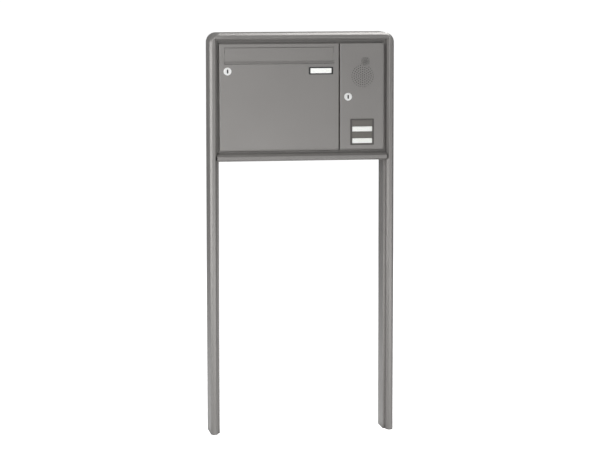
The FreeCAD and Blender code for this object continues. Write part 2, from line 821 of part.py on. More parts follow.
# ---- Intercom door and its fittings ----
voice = (intercom_door_left + voice_in, door_top - voice_down)
mic = (intercom_door_left + mic_in, door_top - mic_down)
bell = (intercom_door_left + bell_in, door_top - bell_down)
intercom_lock = (intercom_door_left + intercom_lock_in, door_top - intercom_lock_down)
bell_row = bell_bar_height + bell_card_height + 2 * bell_rib
bell_height = bell_border + 2 * bell_row - bell_rib + bell_border_low
bell_top = bell[1] + bell_height / 2
bell_bar_tops = (bell_top - bell_border, bell_top - bell_border - bell_row)
bell_card_tops = [top - bell_bar_height - bell_rib for top in bell_bar_tops]


def voice_holes():
    """Ring pattern over the speaker and a tight field over the microphone."""
    holes = [rod_y(voice[0], voice[1], door_front - far, door_inner + far, voice_hole_radius)]
    for ring in range(1, voice_rings + 1):
        count = 6 * ring
        for step in range(count):
            turn = 2 * math.pi * (step + 0.5 * (ring % 2)) / count
            x = voice[0] + ring * voice_ring_step * math.cos(turn)
            z = voice[1] + ring * voice_ring_step * math.sin(turn)
            if math.hypot(x - mic[0], z - mic[1]) > mic_field_radius + mic_pitch / 2:
                holes.append(rod_y(x, z, door_front - far, door_inner + far, voice_hole_radius))
    rows = int(mic_field_radius / mic_pitch)
    for row in range(-rows, rows + 1):
        for column in range(-rows, rows + 1):
            x = column * mic_pitch
            z = row * mic_pitch
            if math.hypot(x, z) <= mic_field_radius:
                holes.append(rod_y(mic[0] + x, mic[1] + z, door_front - far, door_inner + far,
                                   mic_hole_radius))
    return holes


def make_intercom_door():
    door = make_door_shell(intercom_door_left, intercom_door_right)
    door = cut_hinges(door, intercom_door_right)
    half_w = bell_width / 2 - bell_hole_margin
    half_h = bell_height / 2 - bell_hole_margin
    window = box(bell[0] - half_w, bell[0] + half_w, door_front - far, door_inner + far,
                 bell[1] - half_h, bell[1] + half_h)
    return door.cut([window, lock_hole(*intercom_lock)] + voice_holes())


def bell_opening(top, height, d0, d1, grow):
    """Block the size of one bar or card field, grown all round."""
    half = bell_field_width / 2 + grow
    return box(bell[0] - half, bell[0] + half, d0, d1, top - height - grow, top + grow)


def make_bell_frame():
    """Front of the bell module: two push-bar openings and two card recesses."""
    face = door_front - bell_proud
    back = bell_plate_back
    half_w = bell_width / 2
    half_h = bell_height / 2
    frame = rounded_plate(bell[0], bell[1], bell_width, bell_height, bell_corner_radius, face, door_front)
    inset = bell_hole_margin + fit_gap
    frame = frame.fuse(box(bell[0] - half_w + inset, bell[0] + half_w - inset, door_front, back,
                           bell[1] - half_h + inset, bell[1] + half_h - inset))
    for top in bell_bar_tops:
        frame = frame.cut(bell_opening(top, bell_bar_height, face - far, back + far, bell_bar_gap))
    for top in bell_card_tops:
        frame = frame.cut(bell_opening(top, bell_card_height, face - far, door_front + bell_card_floor, 0))
    return frame.removeSplitter()


def make_push_bar(top):
    """Push bar with a retaining flange behind the module's face."""
    face = door_front - bell_proud - bell_bar_proud
    seat = bell_plate_back + bell_bar_gap
    bar = bell_opening(top, bell_bar_height, face, seat, 0)
    front = [edge for edge in bar.Edges if edge.BoundBox.YMax < at(0, face, 0).y + tiny]
    bar = bar.makeFillet(bell_bar_edge, front)
    flange = bell_opening(top, bell_bar_height, seat, seat + bell_bar_flange, bell_bar_flange_out)
    return bar.fuse(flange).removeSplitter()


def make_bell_tray():
    """Tray behind the door that closes the back of the bell module."""
    half_w = bell_width / 2 + plastic_wall
    half_h = bell_height / 2 + plastic_wall
    tray = box(bell[0] - half_w, bell[0] + half_w, door_inner, bell_tray_back,
               bell[1] - half_h, bell[1] + half_h)
    return tray.cut(box(bell[0] - half_w + plastic_wall, bell[0] + half_w - plastic_wall,
                        door_inner - far, bell_tray_back - plastic_wall,
                        bell[1] - half_h + plastic_wall, bell[1] + half_h - plastic_wall))


def make_bell_board():
    half_w = bell_width / 2 - fit_gap
    half_h = bell_height / 2 - fit_gap
    return box(bell[0] - half_w, bell[0] + half_w, bell_board_front, bell_board_front + board_sheet,
               bell[1] - half_h, bell[1] + half_h)


def make_bell_switches():
    """Small push switches on the board, one behind each bar."""
    start = bell_plate_back + bell_bar_gap + bell_bar_flange + bell_travel + fit_gap
    half = bell_switch_side / 2
    return [box(bell[0] - half, bell[0] + half, start, bell_board_front,
                top - bell_bar_height / 2 - half, top - bell_bar_height / 2 + half)
            for top in bell_bar_tops]


def make_bell_standoffs():
    """Pillars between the board and the tray's back."""
    x_out = bell_width / 2 - standoff_in
    z_out = bell_height / 2 - standoff_in
    return [rod_y(bell[0] + sx * x_out, bell[1] + sz * z_out, bell_board_front + board_sheet,
                  bell_tray_back - plastic_wall, standoff_radius) for sx in (-1, 1) for sz in (-1, 1)]


def make_speaker_bracket():
    """Square plate that clamps the speaker over its ring pattern."""
    half = speaker_radius + speaker_bracket_margin
    plate = box(voice[0] - half, voice[0] + half, door_inner, door_inner + plastic_wall,
                voice[1] - half, voice[1] + half)
    plate = plate.cut(rod_y(voice[0], voice[1], door_inner - far, door_back,
                            speaker_radius - speaker_bracket_margin))
    return plate.cut(rod_y(mic[0], mic[1], door_inner - far, door_back, mic_radius + mic_relief))


def make_speaker():
    """Speaker basket: rim, cone-shaped body and round magnet, hollow for the diaphragm."""
    front = door_inner + plastic_wall
    back = front + speaker_depth
    neck = back - speaker_magnet
    throat = speaker_rim + speaker_wall
    profile = [(0, neck - cone_sheet), (0, back), (speaker_magnet_radius, back),
               (speaker_magnet_radius, neck), (speaker_radius - speaker_rim, front + speaker_wall),
               (speaker_radius, front + speaker_wall), (speaker_radius, front),
               (speaker_radius - speaker_rim, front),
               (speaker_magnet_radius - speaker_wall, neck - speaker_wall), (throat, neck - cone_sheet)]
    corners = [(radius, depth, 0) for radius, depth in profile]
    face = outline(corners, lambda p: at(voice[0] + p.x, p.y, voice[1]))
    return face.revolve(at(voice[0], 0, voice[1]), Vector(0, 1, 0), 360)


def make_speaker_cone():
    """Thin diaphragm inside the speaker basket."""
    front = door_inner + plastic_wall
    rim = speaker_radius - speaker_rim - cone_sheet
    deep = front + speaker_depth - speaker_magnet - 4 * cone_sheet
    cap = speaker_magnet_radius / 2
    profile = [(0, deep - 2 * cone_sheet), (cap, deep - cone_sheet),
               (rim - cone_sheet / 2, front + cone_sheet / 2), (rim, front + cone_sheet),
               (cap, deep), (0, deep - cone_sheet)]
    corners = [(radius, depth, 0) for radius, depth in profile]
    face = outline(corners, lambda p: at(voice[0] + p.x, p.y, voice[1]))
    return face.revolve(at(voice[0], 0, voice[1]), Vector(0, 1, 0), 360)


def make_microphone():
    return rod_y(mic[0], mic[1], door_inner, door_inner + mic_depth, mic_radius)


# ---- Intercom compartment ----
board_x = (intercom_left + intercom_right) / 2
board_z = opening_bottom + board_up + board_height / 2
standoff_back = module_back - housing_sheet


def make_main_board():
    back = standoff_back - board_standoff
    return box(board_x - board_width / 2, board_x + board_width / 2, back - board_sheet, back,
               board_z - board_height / 2, board_z + board_height / 2)


def make_main_standoffs():
    x_out = board_width / 2 - standoff_in
    z_out = board_height / 2 - standoff_in
    return [rod_y(board_x + sx * x_out, board_z + sz * z_out, standoff_back - board_standoff,
                  standoff_back, standoff_radius) for sx in (-1, 1) for sz in (-1, 1)]


def make_terminal_block():
    """Row of cable clamps along the lower edge of the main board."""
    front = standoff_back - board_standoff - board_sheet
    low = board_z - board_height / 2 + terminal_in
    left = board_x - terminal_length / 2
    block = box(left, left + terminal_length, front - terminal_depth, front, low, low + terminal_height)
    for index in range(terminal_ways):
        x = left + terminal_length * (index + 0.5) / terminal_ways
        block = block.cut(rod_y(x, low + terminal_height / 2, front - terminal_depth - far,
                                front - terminal_depth + terminal_hole, terminal_hole_radius))
    return block


grommet_z = opening_bottom + grommet_up
grommet_x = opening_left + opening_width


def grommet_hole():
    """Hole through the intercom housing and the right post for the supply cable."""
    left = grommet_x - 2 * grommet_sheet
    right = grommet_x + 2 * profile_wall
    return rod_x(left, right, frame_depth - grommet_in, grommet_z, grommet_radius + card_fit)


def make_grommet():
    inner = grommet_x - fit_gap - housing_sheet
    outer = grommet_x + profile_wall
    ring = rod_x(inner - grommet_sheet, inner, frame_depth - grommet_in, grommet_z, grommet_flange)
    ring = ring.fuse(rod_x(inner, outer, frame_depth - grommet_in, grommet_z, grommet_radius))
    return ring.cut(rod_x(inner - grommet_sheet - far, outer + far, frame_depth - grommet_in, grommet_z,
                          grommet_bore)).removeSplitter()


# ---- Build ----
os.makedirs("parts", exist_ok=True)

shoe_depth_front = nose_depth + profile_wall + fit_gap
shoe_depth_back = frame_depth - profile_wall - fit_gap
shoe_z = (rail_bottom + opening_bottom) / 2
shoe_screws = []
shoe_holes = []
reach = opening_width / 2 + 2 * profile_wall
for side in (-1, 1):
    seat = side * (opening_width / 2 - shoe_wall)
    for depth in shoe_screw_depths(shoe_depth_front, shoe_depth_back):
        shoe_screws.append(make_screw(at(seat, depth, shoe_z), Vector(side, 0, 0), shoe_screw_radius,
                                      shoe_wall + profile_wall + screw_bite,
                                      shoe_screw_head_radius, shoe_screw_head))
        shoe_holes.append(rod_x(-reach, reach, depth, shoe_z,
                                shoe_screw_radius + screw_clearance))

left_post = drill_sides(make_post(-1), -1).cut(shoe_holes)
right_post = drill_sides(make_post(1), 1).cut(shoe_holes).cut(grommet_hole())
save("left_post", left_post)
save("right_post", right_post)
save("top_rail", make_top_rail())
save("bottom_rail", make_bottom_rail())
corner_cap = make_corner_cap()
save("left_corner_cap", corner_cap)
save("right_corner_cap", corner_cap.mirror(Vector(0, 0, 0), Vector(1, 0, 0)))
save("corner_brackets", bracket_legs(-1, 0), bracket_legs(1, 0))
save("rail_shoes", make_rail_shoe(-1), make_rail_shoe(1))
save("rail_shoe_screws", *shoe_screws)

letterbox = [drill_back(drill_sides(sheet, -1)) for sheet in make_housing(mailbox_left, mailbox_right)]
intercom = [drill_back(drill_sides(sheet, 1)).cut(grommet_hole())
            for sheet in make_housing(intercom_left, intercom_right)]
cable_wall = intercom.pop(1)
save("letterbox_housing", *letterbox)
save("intercom_housing", *intercom)
save("intercom_cable_wall", cable_wall)
save("housing_side_screws", *make_side_screws())
save("back_panel", make_back_panel())
save("back_panel_screws", *make_back_screws())
save("cable_grommet", make_grommet())

for name, door_left, door_right in (("mailbox", mailbox_door_left, mailbox_door_right),
                                    ("intercom", intercom_door_left, intercom_door_right)):
    save(name + "_hinge_brackets", *make_hinge_brackets(door_right))
    save(name + "_hinge_pins", *make_hinge_pins(door_right))
    save(name + "_door_buffers", *make_buffers(door_left))

for name, place in (("mailbox", mailbox_lock), ("intercom", intercom_lock)):
    save(name + "_lock_body", make_lock_body(*place))
    save(name + "_lock_nut", make_lock_nut(*place))
    save(name + "_lock_plug", make_lock_plug(*place))
    save(name + "_lock_cam", make_lock_cam(*place))
    save(name + "_cam_screw", make_cam_screw(*place))

save("mailbox_door", make_mailbox_door())
save("mail_flap", make_flap())
save("flap_pin", make_flap_pin())
save("flap_bearings", *make_flap_bearings())
save("flap_springs", *make_flap_springs())
save("mail_slot_frame", make_slot_frame())
save("mail_slot_screws", *make_slot_screws())
save("mail_deflector", make_deflector())
save("name_frame", make_name_frame())
name_card, name_window = card_and_window(name_x, name_z, name_card_width, name_card_height,
                                         door_front - card_sheet, door_front - name_proud + window_in)
save("name_card", name_card)
save("name_window", name_window)

save("intercom_door", make_intercom_door())
save("bell_module_frame", make_bell_frame())
bell_card_front = door_front + bell_card_floor
bell_window_front = door_front - bell_proud + window_in
cards = [card_and_window(bell[0], top - bell_card_height / 2, bell_field_width, bell_card_height,
                         bell_card_front, bell_window_front) for top in bell_card_tops]
save("bell_cards", *[card for card, _ in cards])
save("bell_windows", *[window for _, window in cards])
save("light_button", make_push_bar(bell_bar_tops[0]))
save("bell_button", make_push_bar(bell_bar_tops[1]))
save("bell_module_tray", make_bell_tray())
save("bell_board", make_bell_board())
save("bell_switches", *make_bell_switches())
save("bell_board_standoffs", *make_bell_standoffs())
save("speaker_bracket", make_speaker_bracket())
save("speaker", make_speaker())
save("speaker_cone", make_speaker_cone())
save("microphone", make_microphone())
save("intercom_board", make_main_board())
save("intercom_board_standoffs", *make_main_standoffs())
save("terminal_block", make_terminal_block())
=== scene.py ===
# %% [markdown]
# # A post-mounted mailbox unit, finished in Blender
#
# Two hollow posts carry a letterbox and an intercom compartment side by side. The shapes come from
# the CAD model, where each sheet, screw and hinge pin is a part of its own. Blender adds what CAD
# doesn't have: the powder coat, the zinc on the hardware, the print-free cards behind their
# windows, real screw heads, wound springs and the small parts on the intercom's board.
#
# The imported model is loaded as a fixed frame, in metres. X runs to the right, Y towards the back
# and Z up, and nothing from the CAD side is moved or reshaped from here on.

# %% Load the frame
import json
import math

import bmesh
import bpy
from mathutils import Matrix, Vector


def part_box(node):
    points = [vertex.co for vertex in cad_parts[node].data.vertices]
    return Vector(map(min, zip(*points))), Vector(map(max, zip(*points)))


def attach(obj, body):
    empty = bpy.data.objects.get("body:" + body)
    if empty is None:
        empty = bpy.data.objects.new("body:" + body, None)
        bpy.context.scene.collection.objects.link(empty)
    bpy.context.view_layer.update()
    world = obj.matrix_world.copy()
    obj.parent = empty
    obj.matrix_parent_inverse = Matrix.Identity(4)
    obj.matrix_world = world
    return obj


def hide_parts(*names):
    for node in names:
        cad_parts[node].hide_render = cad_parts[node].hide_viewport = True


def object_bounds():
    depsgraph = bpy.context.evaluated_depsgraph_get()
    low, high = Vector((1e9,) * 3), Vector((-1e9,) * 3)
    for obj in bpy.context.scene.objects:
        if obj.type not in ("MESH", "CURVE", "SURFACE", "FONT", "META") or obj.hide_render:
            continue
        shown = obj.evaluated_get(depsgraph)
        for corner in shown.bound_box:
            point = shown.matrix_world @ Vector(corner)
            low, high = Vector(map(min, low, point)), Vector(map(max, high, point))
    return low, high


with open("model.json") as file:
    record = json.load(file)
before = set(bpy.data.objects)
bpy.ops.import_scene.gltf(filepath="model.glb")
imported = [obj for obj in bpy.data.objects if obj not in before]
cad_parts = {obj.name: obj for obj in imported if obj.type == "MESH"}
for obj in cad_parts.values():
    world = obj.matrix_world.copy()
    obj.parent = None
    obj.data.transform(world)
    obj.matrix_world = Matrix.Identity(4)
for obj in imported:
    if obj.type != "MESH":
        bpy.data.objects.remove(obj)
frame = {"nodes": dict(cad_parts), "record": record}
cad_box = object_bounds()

MM = 0.001
nodes = frame["nodes"]
size = cad_box[1] - cad_box[0]
print("CAD box, metres:", [round(side, 4) for side in size], "nodes:", len(nodes))

# %% [markdown]
# ## The camera
# The unit is seen from in front, a little to its left and from about head height. A long lens
# keeps the two posts nearly parallel, as a product picture does. The lens is shifted slightly
# instead of tilting further, because a tilt would make the posts lean.

# %% Camera
CAMERA_PLACE = Vector((-1.2094, -7.6913, 1.5554))
CAMERA_YAW = math.radians(8.9336)
CAMERA_PITCH = math.radians(6.2381)
CAMERA_ROLL = math.radians(-0.0335)
CAMERA_LENS = 152.879
CAMERA_SHIFT = -0.045


def make_camera():
    """Camera that looks along its own -Z, turned by yaw and pitch from the +Y direction."""
    data = bpy.data.cameras.new("camera")
    data.sensor_width = 36.0
    data.lens = CAMERA_LENS
    data.shift_y = CAMERA_SHIFT
    camera = bpy.data.objects.new("camera", data)
    bpy.context.scene.collection.objects.link(camera)
    ahead = Vector((math.sin(CAMERA_YAW) * math.cos(CAMERA_PITCH),
                    math.cos(CAMERA_YAW) * math.cos(CAMERA_PITCH), -math.sin(CAMERA_PITCH)))
    camera.rotation_mode = "QUATERNION"
    camera.rotation_quaternion = ahead.to_track_quat("-Z", "Y")
    camera.rotation_quaternion @= Matrix.Rotation(CAMERA_ROLL, 3, "Z").to_quaternion()
    camera.location = CAMERA_PLACE
    bpy.context.scene.camera = camera
    return camera


camera = make_camera()
print("camera", [round(v, 3) for v in camera.location])

# %% [markdown]
# ## The studio
# A product like this is lit by big soft boxes against white. The main light stands in front and
# to the left, so the doors darken a little to the right. One at the side makes the bevels that
# face left shine, one above brightens the top of the rail, and a low one stands in for what a
# pale floor sends back up. Area lights are used because their size gives the soft edges.

# %% Floor and world
FLOOR_HALF = 60.0
FLOOR_SHADE = 0.86
ROOM_LIGHT = 0.17
FLOOR_GLOW = 0.92


def make_floor():
    """Wide pale ground. Seen directly it glows a little, so that it fades into the white behind."""
    mesh = bpy.data.meshes.new("studio_floor")
    corners = [(-FLOOR_HALF, -FLOOR_HALF, 0), (FLOOR_HALF, -FLOOR_HALF, 0),
               (FLOOR_HALF, FLOOR_HALF, 0), (-FLOOR_HALF, FLOOR_HALF, 0)]
    mesh.from_pydata(corners, [], [(0, 1, 2, 3)])
    floor = bpy.data.objects.new("studio_floor", mesh)
    bpy.context.scene.collection.objects.link(floor)
    paint = bpy.data.materials.new("floor_paint")
    paint.use_nodes = True
    tree = paint.node_tree
    surface = tree.nodes["Principled BSDF"]
    surface.inputs["Base Color"].default_value = (FLOOR_SHADE, FLOOR_SHADE, FLOOR_SHADE, 1)
    surface.inputs["Roughness"].default_value = 0.9
    surface.inputs["Specular IOR Level"].default_value = 0.0
    surface.inputs["Emission Color"].default_value = (1, 1, 1, 1)
    direct = tree.nodes.new("ShaderNodeLightPath")
    glow = tree.nodes.new("ShaderNodeMath")
    glow.operation = "MULTIPLY"
    glow.inputs[1].default_value = FLOOR_GLOW
    tree.links.new(direct.outputs["Is Camera Ray"], glow.inputs[0])
    tree.links.new(glow.outputs[0], surface.inputs["Emission Strength"])
    mesh.materials.append(paint)


def make_world():
    """White behind the object, and a softer even light on it."""
    world = bpy.data.worlds.new("studio_air")
    bpy.context.scene.world = world
    world.use_nodes = True
    tree = world.node_tree
    air = tree.nodes["Background"]
    air.inputs["Color"].default_value = (1, 1, 1, 1)
    direct = tree.nodes.new("ShaderNodeLightPath")
    level = tree.nodes.new("ShaderNodeMapRange")
    level.inputs["To Min"].default_value = ROOM_LIGHT
    level.inputs["To Max"].default_value = 1.0
    tree.links.new(direct.outputs["Is Camera Ray"], level.inputs["Value"])
    tree.links.new(level.outputs["Result"], air.inputs["Strength"])


make_floor()
make_world()
bpy.context.scene.view_settings.view_transform = "Standard"

# %% Soft boxes
# Name, place, what it looks at, width, height, watts.
SOFT_BOXES = [
    ("main_light", (-1.3, -1.55, 1.6), (-0.15, 0.0, 0.9), 0.7, 1.6, 37.0),
    ("bevel_light", (-3.1, 0.8, 0.8), (0.0, 0.0, 0.6), 0.6, 2.2, 20.0),
    ("top_light", (0.75, 0.75, 2.8), (0.1, 0.0, 1.2), 1.6, 1.2, 32.0),
    ("floor_bounce", (0.1, -1.7, 0.08), (0.0, 0.0, 0.9), 2.4, 0.8, 12.0),
    ("fill_light", (2.6, -1.4, 1.3), (0.1, 0.0, 0.8), 1.0, 1.8, 20.0),
    ("back_light", (2.0, 3.0, 1.8), (0.0, 0.0, 0.8), 2.0, 2.0, 22.0),
]


def make_soft_box(name, place, target, width, height, watts):
    data = bpy.data.lights.new(name, "AREA")
    data.shape = "RECTANGLE"
    data.size = width
    data.size_y = height
    data.energy = watts
    lamp = bpy.data.objects.new(name, data)
    lamp.location = place
    lamp.rotation_euler = (Vector(target) - Vector(place)).to_track_quat("-Z", "Y").to_euler()
    lamp.visible_camera = False
    bpy.context.scene.collection.objects.link(lamp)


for box_light in SOFT_BOXES:
    make_soft_box(*box_light)
print("soft boxes:", len(SOFT_BOXES))

# %% [markdown]
# ## Small tools for finishes
# Every finish here is a procedural material: colours and bumps are worked out from the place on
# the object, so nothing stretches and nothing has to be painted by hand. Two helpers keep that
# short. `node` adds a node with its settings and inputs, and `new_effect` starts a node group, the
# Blender way to build an effect once and use it in many materials with different values.

# %% Helpers for node trees
def node(tree, kind, inputs=(), **settings):
    """Adds a shader node. inputs pairs a socket's name or number with a value or another socket."""
    made = tree.nodes.new("ShaderNode" + kind)
    for key, value in settings.items():
        setattr(made, key, value)
    for key, value in dict(inputs).items():
        if isinstance(value, bpy.types.NodeSocket):
            tree.links.new(value, made.inputs[key])
        else:
            made.inputs[key].default_value = value
    return made


def maths(tree, operation, first, second=0.0):
    return node(tree, "Math", {0: first, 1: second}, operation=operation).outputs[0]


def spread(tree, value, low, high, to_low=0.0, to_high=1.0):
    """Stretches the range low to high over to_low to to_high, and clamps what lies outside."""
    return node(tree, "MapRange", {"Value": value, "From Min": low, "From Max": high,
                                   "To Min": to_low, "To Max": to_high}).outputs["Result"]


def mix_colours(tree, factor, first, second, way="MIX"):
    """Colour sockets of a Mix node have the numbers 6 and 7, and its colour result is number 2."""
    return node(tree, "Mix", {0: factor, 6: first, 7: second}, data_type="RGBA",
                blend_type=way).outputs[2]


def per_metre(tree, feature_size):
    """Texture scale that gives features of this size, both in metres."""
    return maths(tree, "DIVIDE", 1.0, feature_size)


def scale_colour(tree, colour, level):
    return node(tree, "VectorMath", {0: colour, "Scale": level}, operation="SCALE").outputs[0]


def noise(tree, place, scale, detail=2.0, roughness=0.5):
    return node(tree, "TexNoise", {"Vector": place, "Scale": scale, "Detail": detail,
                                   "Roughness": roughness}).outputs["Fac"]


def place_on_object(tree):
    """The point on the piece, in metres. It moves with the piece when a door swings."""
    return node(tree, "TexCoord").outputs["Object"]


def new_effect(name, inputs, outputs):
    """Starts a node group. inputs gives each socket's name, type and first value."""
    effect = bpy.data.node_groups.new(name, "ShaderNodeTree")
    for label, kind, value in inputs:
        plug = effect.interface.new_socket(label, in_out="INPUT", socket_type="NodeSocket" + kind)
        plug.default_value = value
    for label, kind in outputs:
        effect.interface.new_socket(label, in_out="OUTPUT", socket_type="NodeSocket" + kind)
    return effect, effect.nodes.new("NodeGroupInput").outputs


def close_effect(effect, **results):
    """Joins the results to the group's outputs, whose names have spaces where these have _."""
    end = effect.nodes.new("NodeGroupOutput")
    for label, socket in results.items():
        effect.links.new(socket, end.inputs[label.replace("_", " ")])


def use_effect(tree, effect, **values):
    """Places a group in a material. Returns its outputs by name."""
    placed = tree.nodes.new("ShaderNodeGroup")
    placed.node_tree = effect
    for label, value in values.items():
        label = label.replace("_", " ")
        if isinstance(value, bpy.types.NodeSocket):
            tree.links.new(value, placed.inputs[label])
        else:
            placed.inputs[label].default_value = value
    return placed.outputs


def rgb(red, green, blue):
    return (red, green, blue, 1.0)

# %% [markdown]
# ## Powder coat
# The posts, doors and housings are powder coated: dry paint dust melted into a tough skin. Up close
# it has a faint orange peel, because the melt doesn't level fully, and fine mica flecks that make
# the grey look metallic. It could be one noise texture, but then every scale would look alike.
# Three layers are used instead: clouds a hand wide, peel about a millimetre wide, and flecks of a
# fifth of a millimetre.

# %% Effect: powder coat
def build_powder_coat():
    effect, given = new_effect(
        "Powder Coat",
        [("Colour", "Color", rgb(0.2, 0.2, 0.2)), ("Fleck Size", "Float", 0.0002),
         ("Fleck Strength", "Float", 0.1), ("Peel Size", "Float", 0.0014),
         ("Cloud Size", "Float", 0.12), ("Cloud Strength", "Float", 0.04),
         ("Gloss", "Float", 0.45)],
        [("Colour", "Color"), ("Roughness", "Float"), ("Height", "Float")])
    place = place_on_object(effect)
    flecks = node(effect, "TexVoronoi",
                  {"Vector": place, "Scale": per_metre(effect, given["Fleck Size"])})
    chance = node(effect, "SeparateColor", {0: flecks.outputs["Color"]}).outputs[0]
    bright = spread(effect, chance, 0.72, 1.0)
    dark = spread(effect, chance, 0.2, 0.0)
    fleck = maths(effect, "MULTIPLY", maths(effect, "SUBTRACT", bright, dark),
                  given["Fleck Strength"])
    cloud = noise(effect, place, per_metre(effect, given["Cloud Size"]), 3.0)
    drift = maths(effect, "MULTIPLY", maths(effect, "SUBTRACT", cloud, 0.5),
                  given["Cloud Strength"])
    level = maths(effect, "ADD", maths(effect, "ADD", fleck, drift), 1.0)
    colour = scale_colour(effect, given["Colour"], level)
    peel = noise(effect, place, per_metre(effect, given["Peel Size"]), 1.5)
    height = maths(effect, "ADD", peel, maths(effect, "MULTIPLY", chance, 0.25))
    rough = maths(effect, "ADD", given["Gloss"],
                  maths(effect, "MULTIPLY", maths(effect, "SUBTRACT", peel, 0.5), 0.12))
    rough = maths(effect, "ADD", rough, maths(effect, "MULTIPLY", drift, 1.5))
    close_effect(effect, Colour=colour, Roughness=rough, Height=height)
    return effect


powder_coat_effect = build_powder_coat()
print("effect:", powder_coat_effect.name)

# %% [markdown]
# ## Wear along edges
# Keys, letters and gloves rub the sharp edges first, so paint is thinnest there. A Bevel node gives
# the normal of an imaginary rounded edge, and where that differs from the true normal there is an
# edge. It needs no extra mesh and works on every shape, which vertex painting would not.

# %% Effect: edge wear
def build_edge_wear():
    effect, given = new_effect(
        "Edge Wear",
        [("Colour", "Color", rgb(0.2, 0.2, 0.2)), ("Worn Colour", "Color", rgb(0.4, 0.4, 0.4)),
         ("Edge Radius", "Float", 0.0008), ("Amount", "Float", 0.5),
         ("Patch Size", "Float", 0.02)],
        [("Colour", "Color"), ("Mask", "Float")])
    rounded = node(effect, "Bevel", {"Radius": given["Edge Radius"]}, samples=3).outputs["Normal"]
    true = node(effect, "NewGeometry").outputs["Normal"]
    same = node(effect, "VectorMath", {0: rounded, 1: true},
                operation="DOT_PRODUCT").outputs["Value"]
    edge = spread(effect, same, 0.985, 0.8)
    patch = noise(effect, place_on_object(effect),
                  per_metre(effect, given["Patch Size"]), 4.0, 0.65)
    worn = maths(effect, "MULTIPLY", edge, spread(effect, patch, 0.38, 0.62))
    worn = maths(effect, "MULTIPLY", worn, given["Amount"])
    colour = mix_colours(effect, worn, given["Colour"], given["Worn Colour"])
    close_effect(effect, Colour=colour, Mask=worn)
    return effect


edge_wear_effect = build_edge_wear()
print("effect:", edge_wear_effect.name)

# %% [markdown]
# ## Settled dust and painted shade
# Outdoors, fine dust settles on whatever faces up and a little of it stays in mottled patches
# elsewhere. The mask is the upward part of the normal, broken up by noise. Narrow gaps get painted
# shade: an Ambient Occlusion node tells how closely a point is shut in, and there the colour is
# darkened.

# %% Effect: settled dust and painted shade
def build_dust_and_painted_shade():
    effect, given = new_effect(
        "Settled Dust And Painted Shade",
        [("Colour", "Color", rgb(0.2, 0.2, 0.2)), ("Dust Colour", "Color", rgb(0.5, 0.48, 0.44)),
         ("Amount", "Float", 0.2), ("Patch Size", "Float", 0.03),
         ("Grime Colour", "Color", rgb(0.05, 0.045, 0.04)), ("Grime Amount", "Float", 0.0),
         ("Painted Shade Reach", "Float", 0.005)],
        [("Colour", "Color"), ("Mask", "Float")])
    normal = node(effect, "NewGeometry").outputs["Normal"]
    up = node(effect, "SeparateXYZ", {0: normal}).outputs["Z"]
    facing = spread(effect, up, 0.2, 0.95, 0.06, 1.0)
    patch = noise(effect, place_on_object(effect),
                  per_metre(effect, given["Patch Size"]), 5.0, 0.6)
    mask = maths(effect, "MULTIPLY", facing, spread(effect, patch, 0.35, 0.75))
    mask = maths(effect, "MULTIPLY", mask, given["Amount"])
    dusted = mix_colours(effect, mask, given["Colour"], given["Dust Colour"])
    # Painted shade: where the AO node finds a point shut in, the colour is darkened towards the
    # shade colour.
    shelter = node(effect, "AmbientOcclusion", {"Distance": given["Painted Shade Reach"]},
                   samples=4).outputs["AO"]
    painted_shade = maths(effect, "MULTIPLY", spread(effect, shelter, 0.75, 0.2), given["Grime Amount"])
    colour = mix_colours(effect, painted_shade, dusted, given["Grime Colour"])
    close_effect(effect, Colour=colour, Mask=mask)
    return effect


dust_and_painted_shade_effect = build_dust_and_painted_shade()
print("effect:", dust_and_painted_shade_effect.name)

# %% [markdown]
# ## Rolled and turned metal
# Sheet steel keeps fine lines from the rollers and turned parts keep them from the lathe. Noise
# stretched along one axis gives such lines. Zinc plating adds a mottle of slightly blue and yellow
# patches, where the passivation is thicker.

# %% Effect: metal grain
def build_metal_grain():
    effect, given = new_effect(
        "Metal Grain",
        [("Colour", "Color", rgb(0.7, 0.7, 0.7)), ("Tint Colour", "Color", rgb(0.66, 0.68, 0.72)),
         ("Line Width", "Float", 0.00025), ("Line Length", "Float", 0.02),
         ("Mottle Size", "Float", 0.006), ("Mottle", "Float", 0.6), ("Gloss", "Float", 0.35)],
        [("Colour", "Color"), ("Roughness", "Float"), ("Height", "Float")])
    place = place_on_object(effect)
    across = per_metre(effect, given["Line Width"])
    along = per_metre(effect, given["Line Length"])
    stretch = node(effect, "CombineXYZ", {0: along, 1: across, 2: across}).outputs[0]
    lines = noise(effect, node(effect, "VectorMath", {0: place, 1: stretch},
                               operation="MULTIPLY").outputs[0], 1.0, 3.0)
    mottle = noise(effect, place, per_metre(effect, given["Mottle Size"]), 4.0, 0.6)
    patch = maths(effect, "MULTIPLY", spread(effect, mottle, 0.35, 0.65), given["Mottle"])
    tinted = mix_colours(effect, patch, given["Colour"], given["Tint Colour"])
    level = spread(effect, lines, 0.3, 0.7, 0.94, 1.04)
    colour = scale_colour(effect, tinted, level)
    rough = maths(effect, "ADD", given["Gloss"], spread(effect, lines, 0.3, 0.7, -0.05, 0.07))
    rough = maths(effect, "ADD", rough, maths(effect, "MULTIPLY", patch, 0.06))
    close_effect(effect, Colour=colour, Roughness=rough, Height=lines)
    return effect


metal_grain_effect = build_metal_grain()
print("effect:", metal_grain_effect.name)

# %% [markdown]
# ## Moulded grain
# Plastic and rubber parts copy the spark-eroded skin of their mould: tiny flat-topped cells. A cell
# texture rounded off by a little noise does it, as height and as a change in gloss.

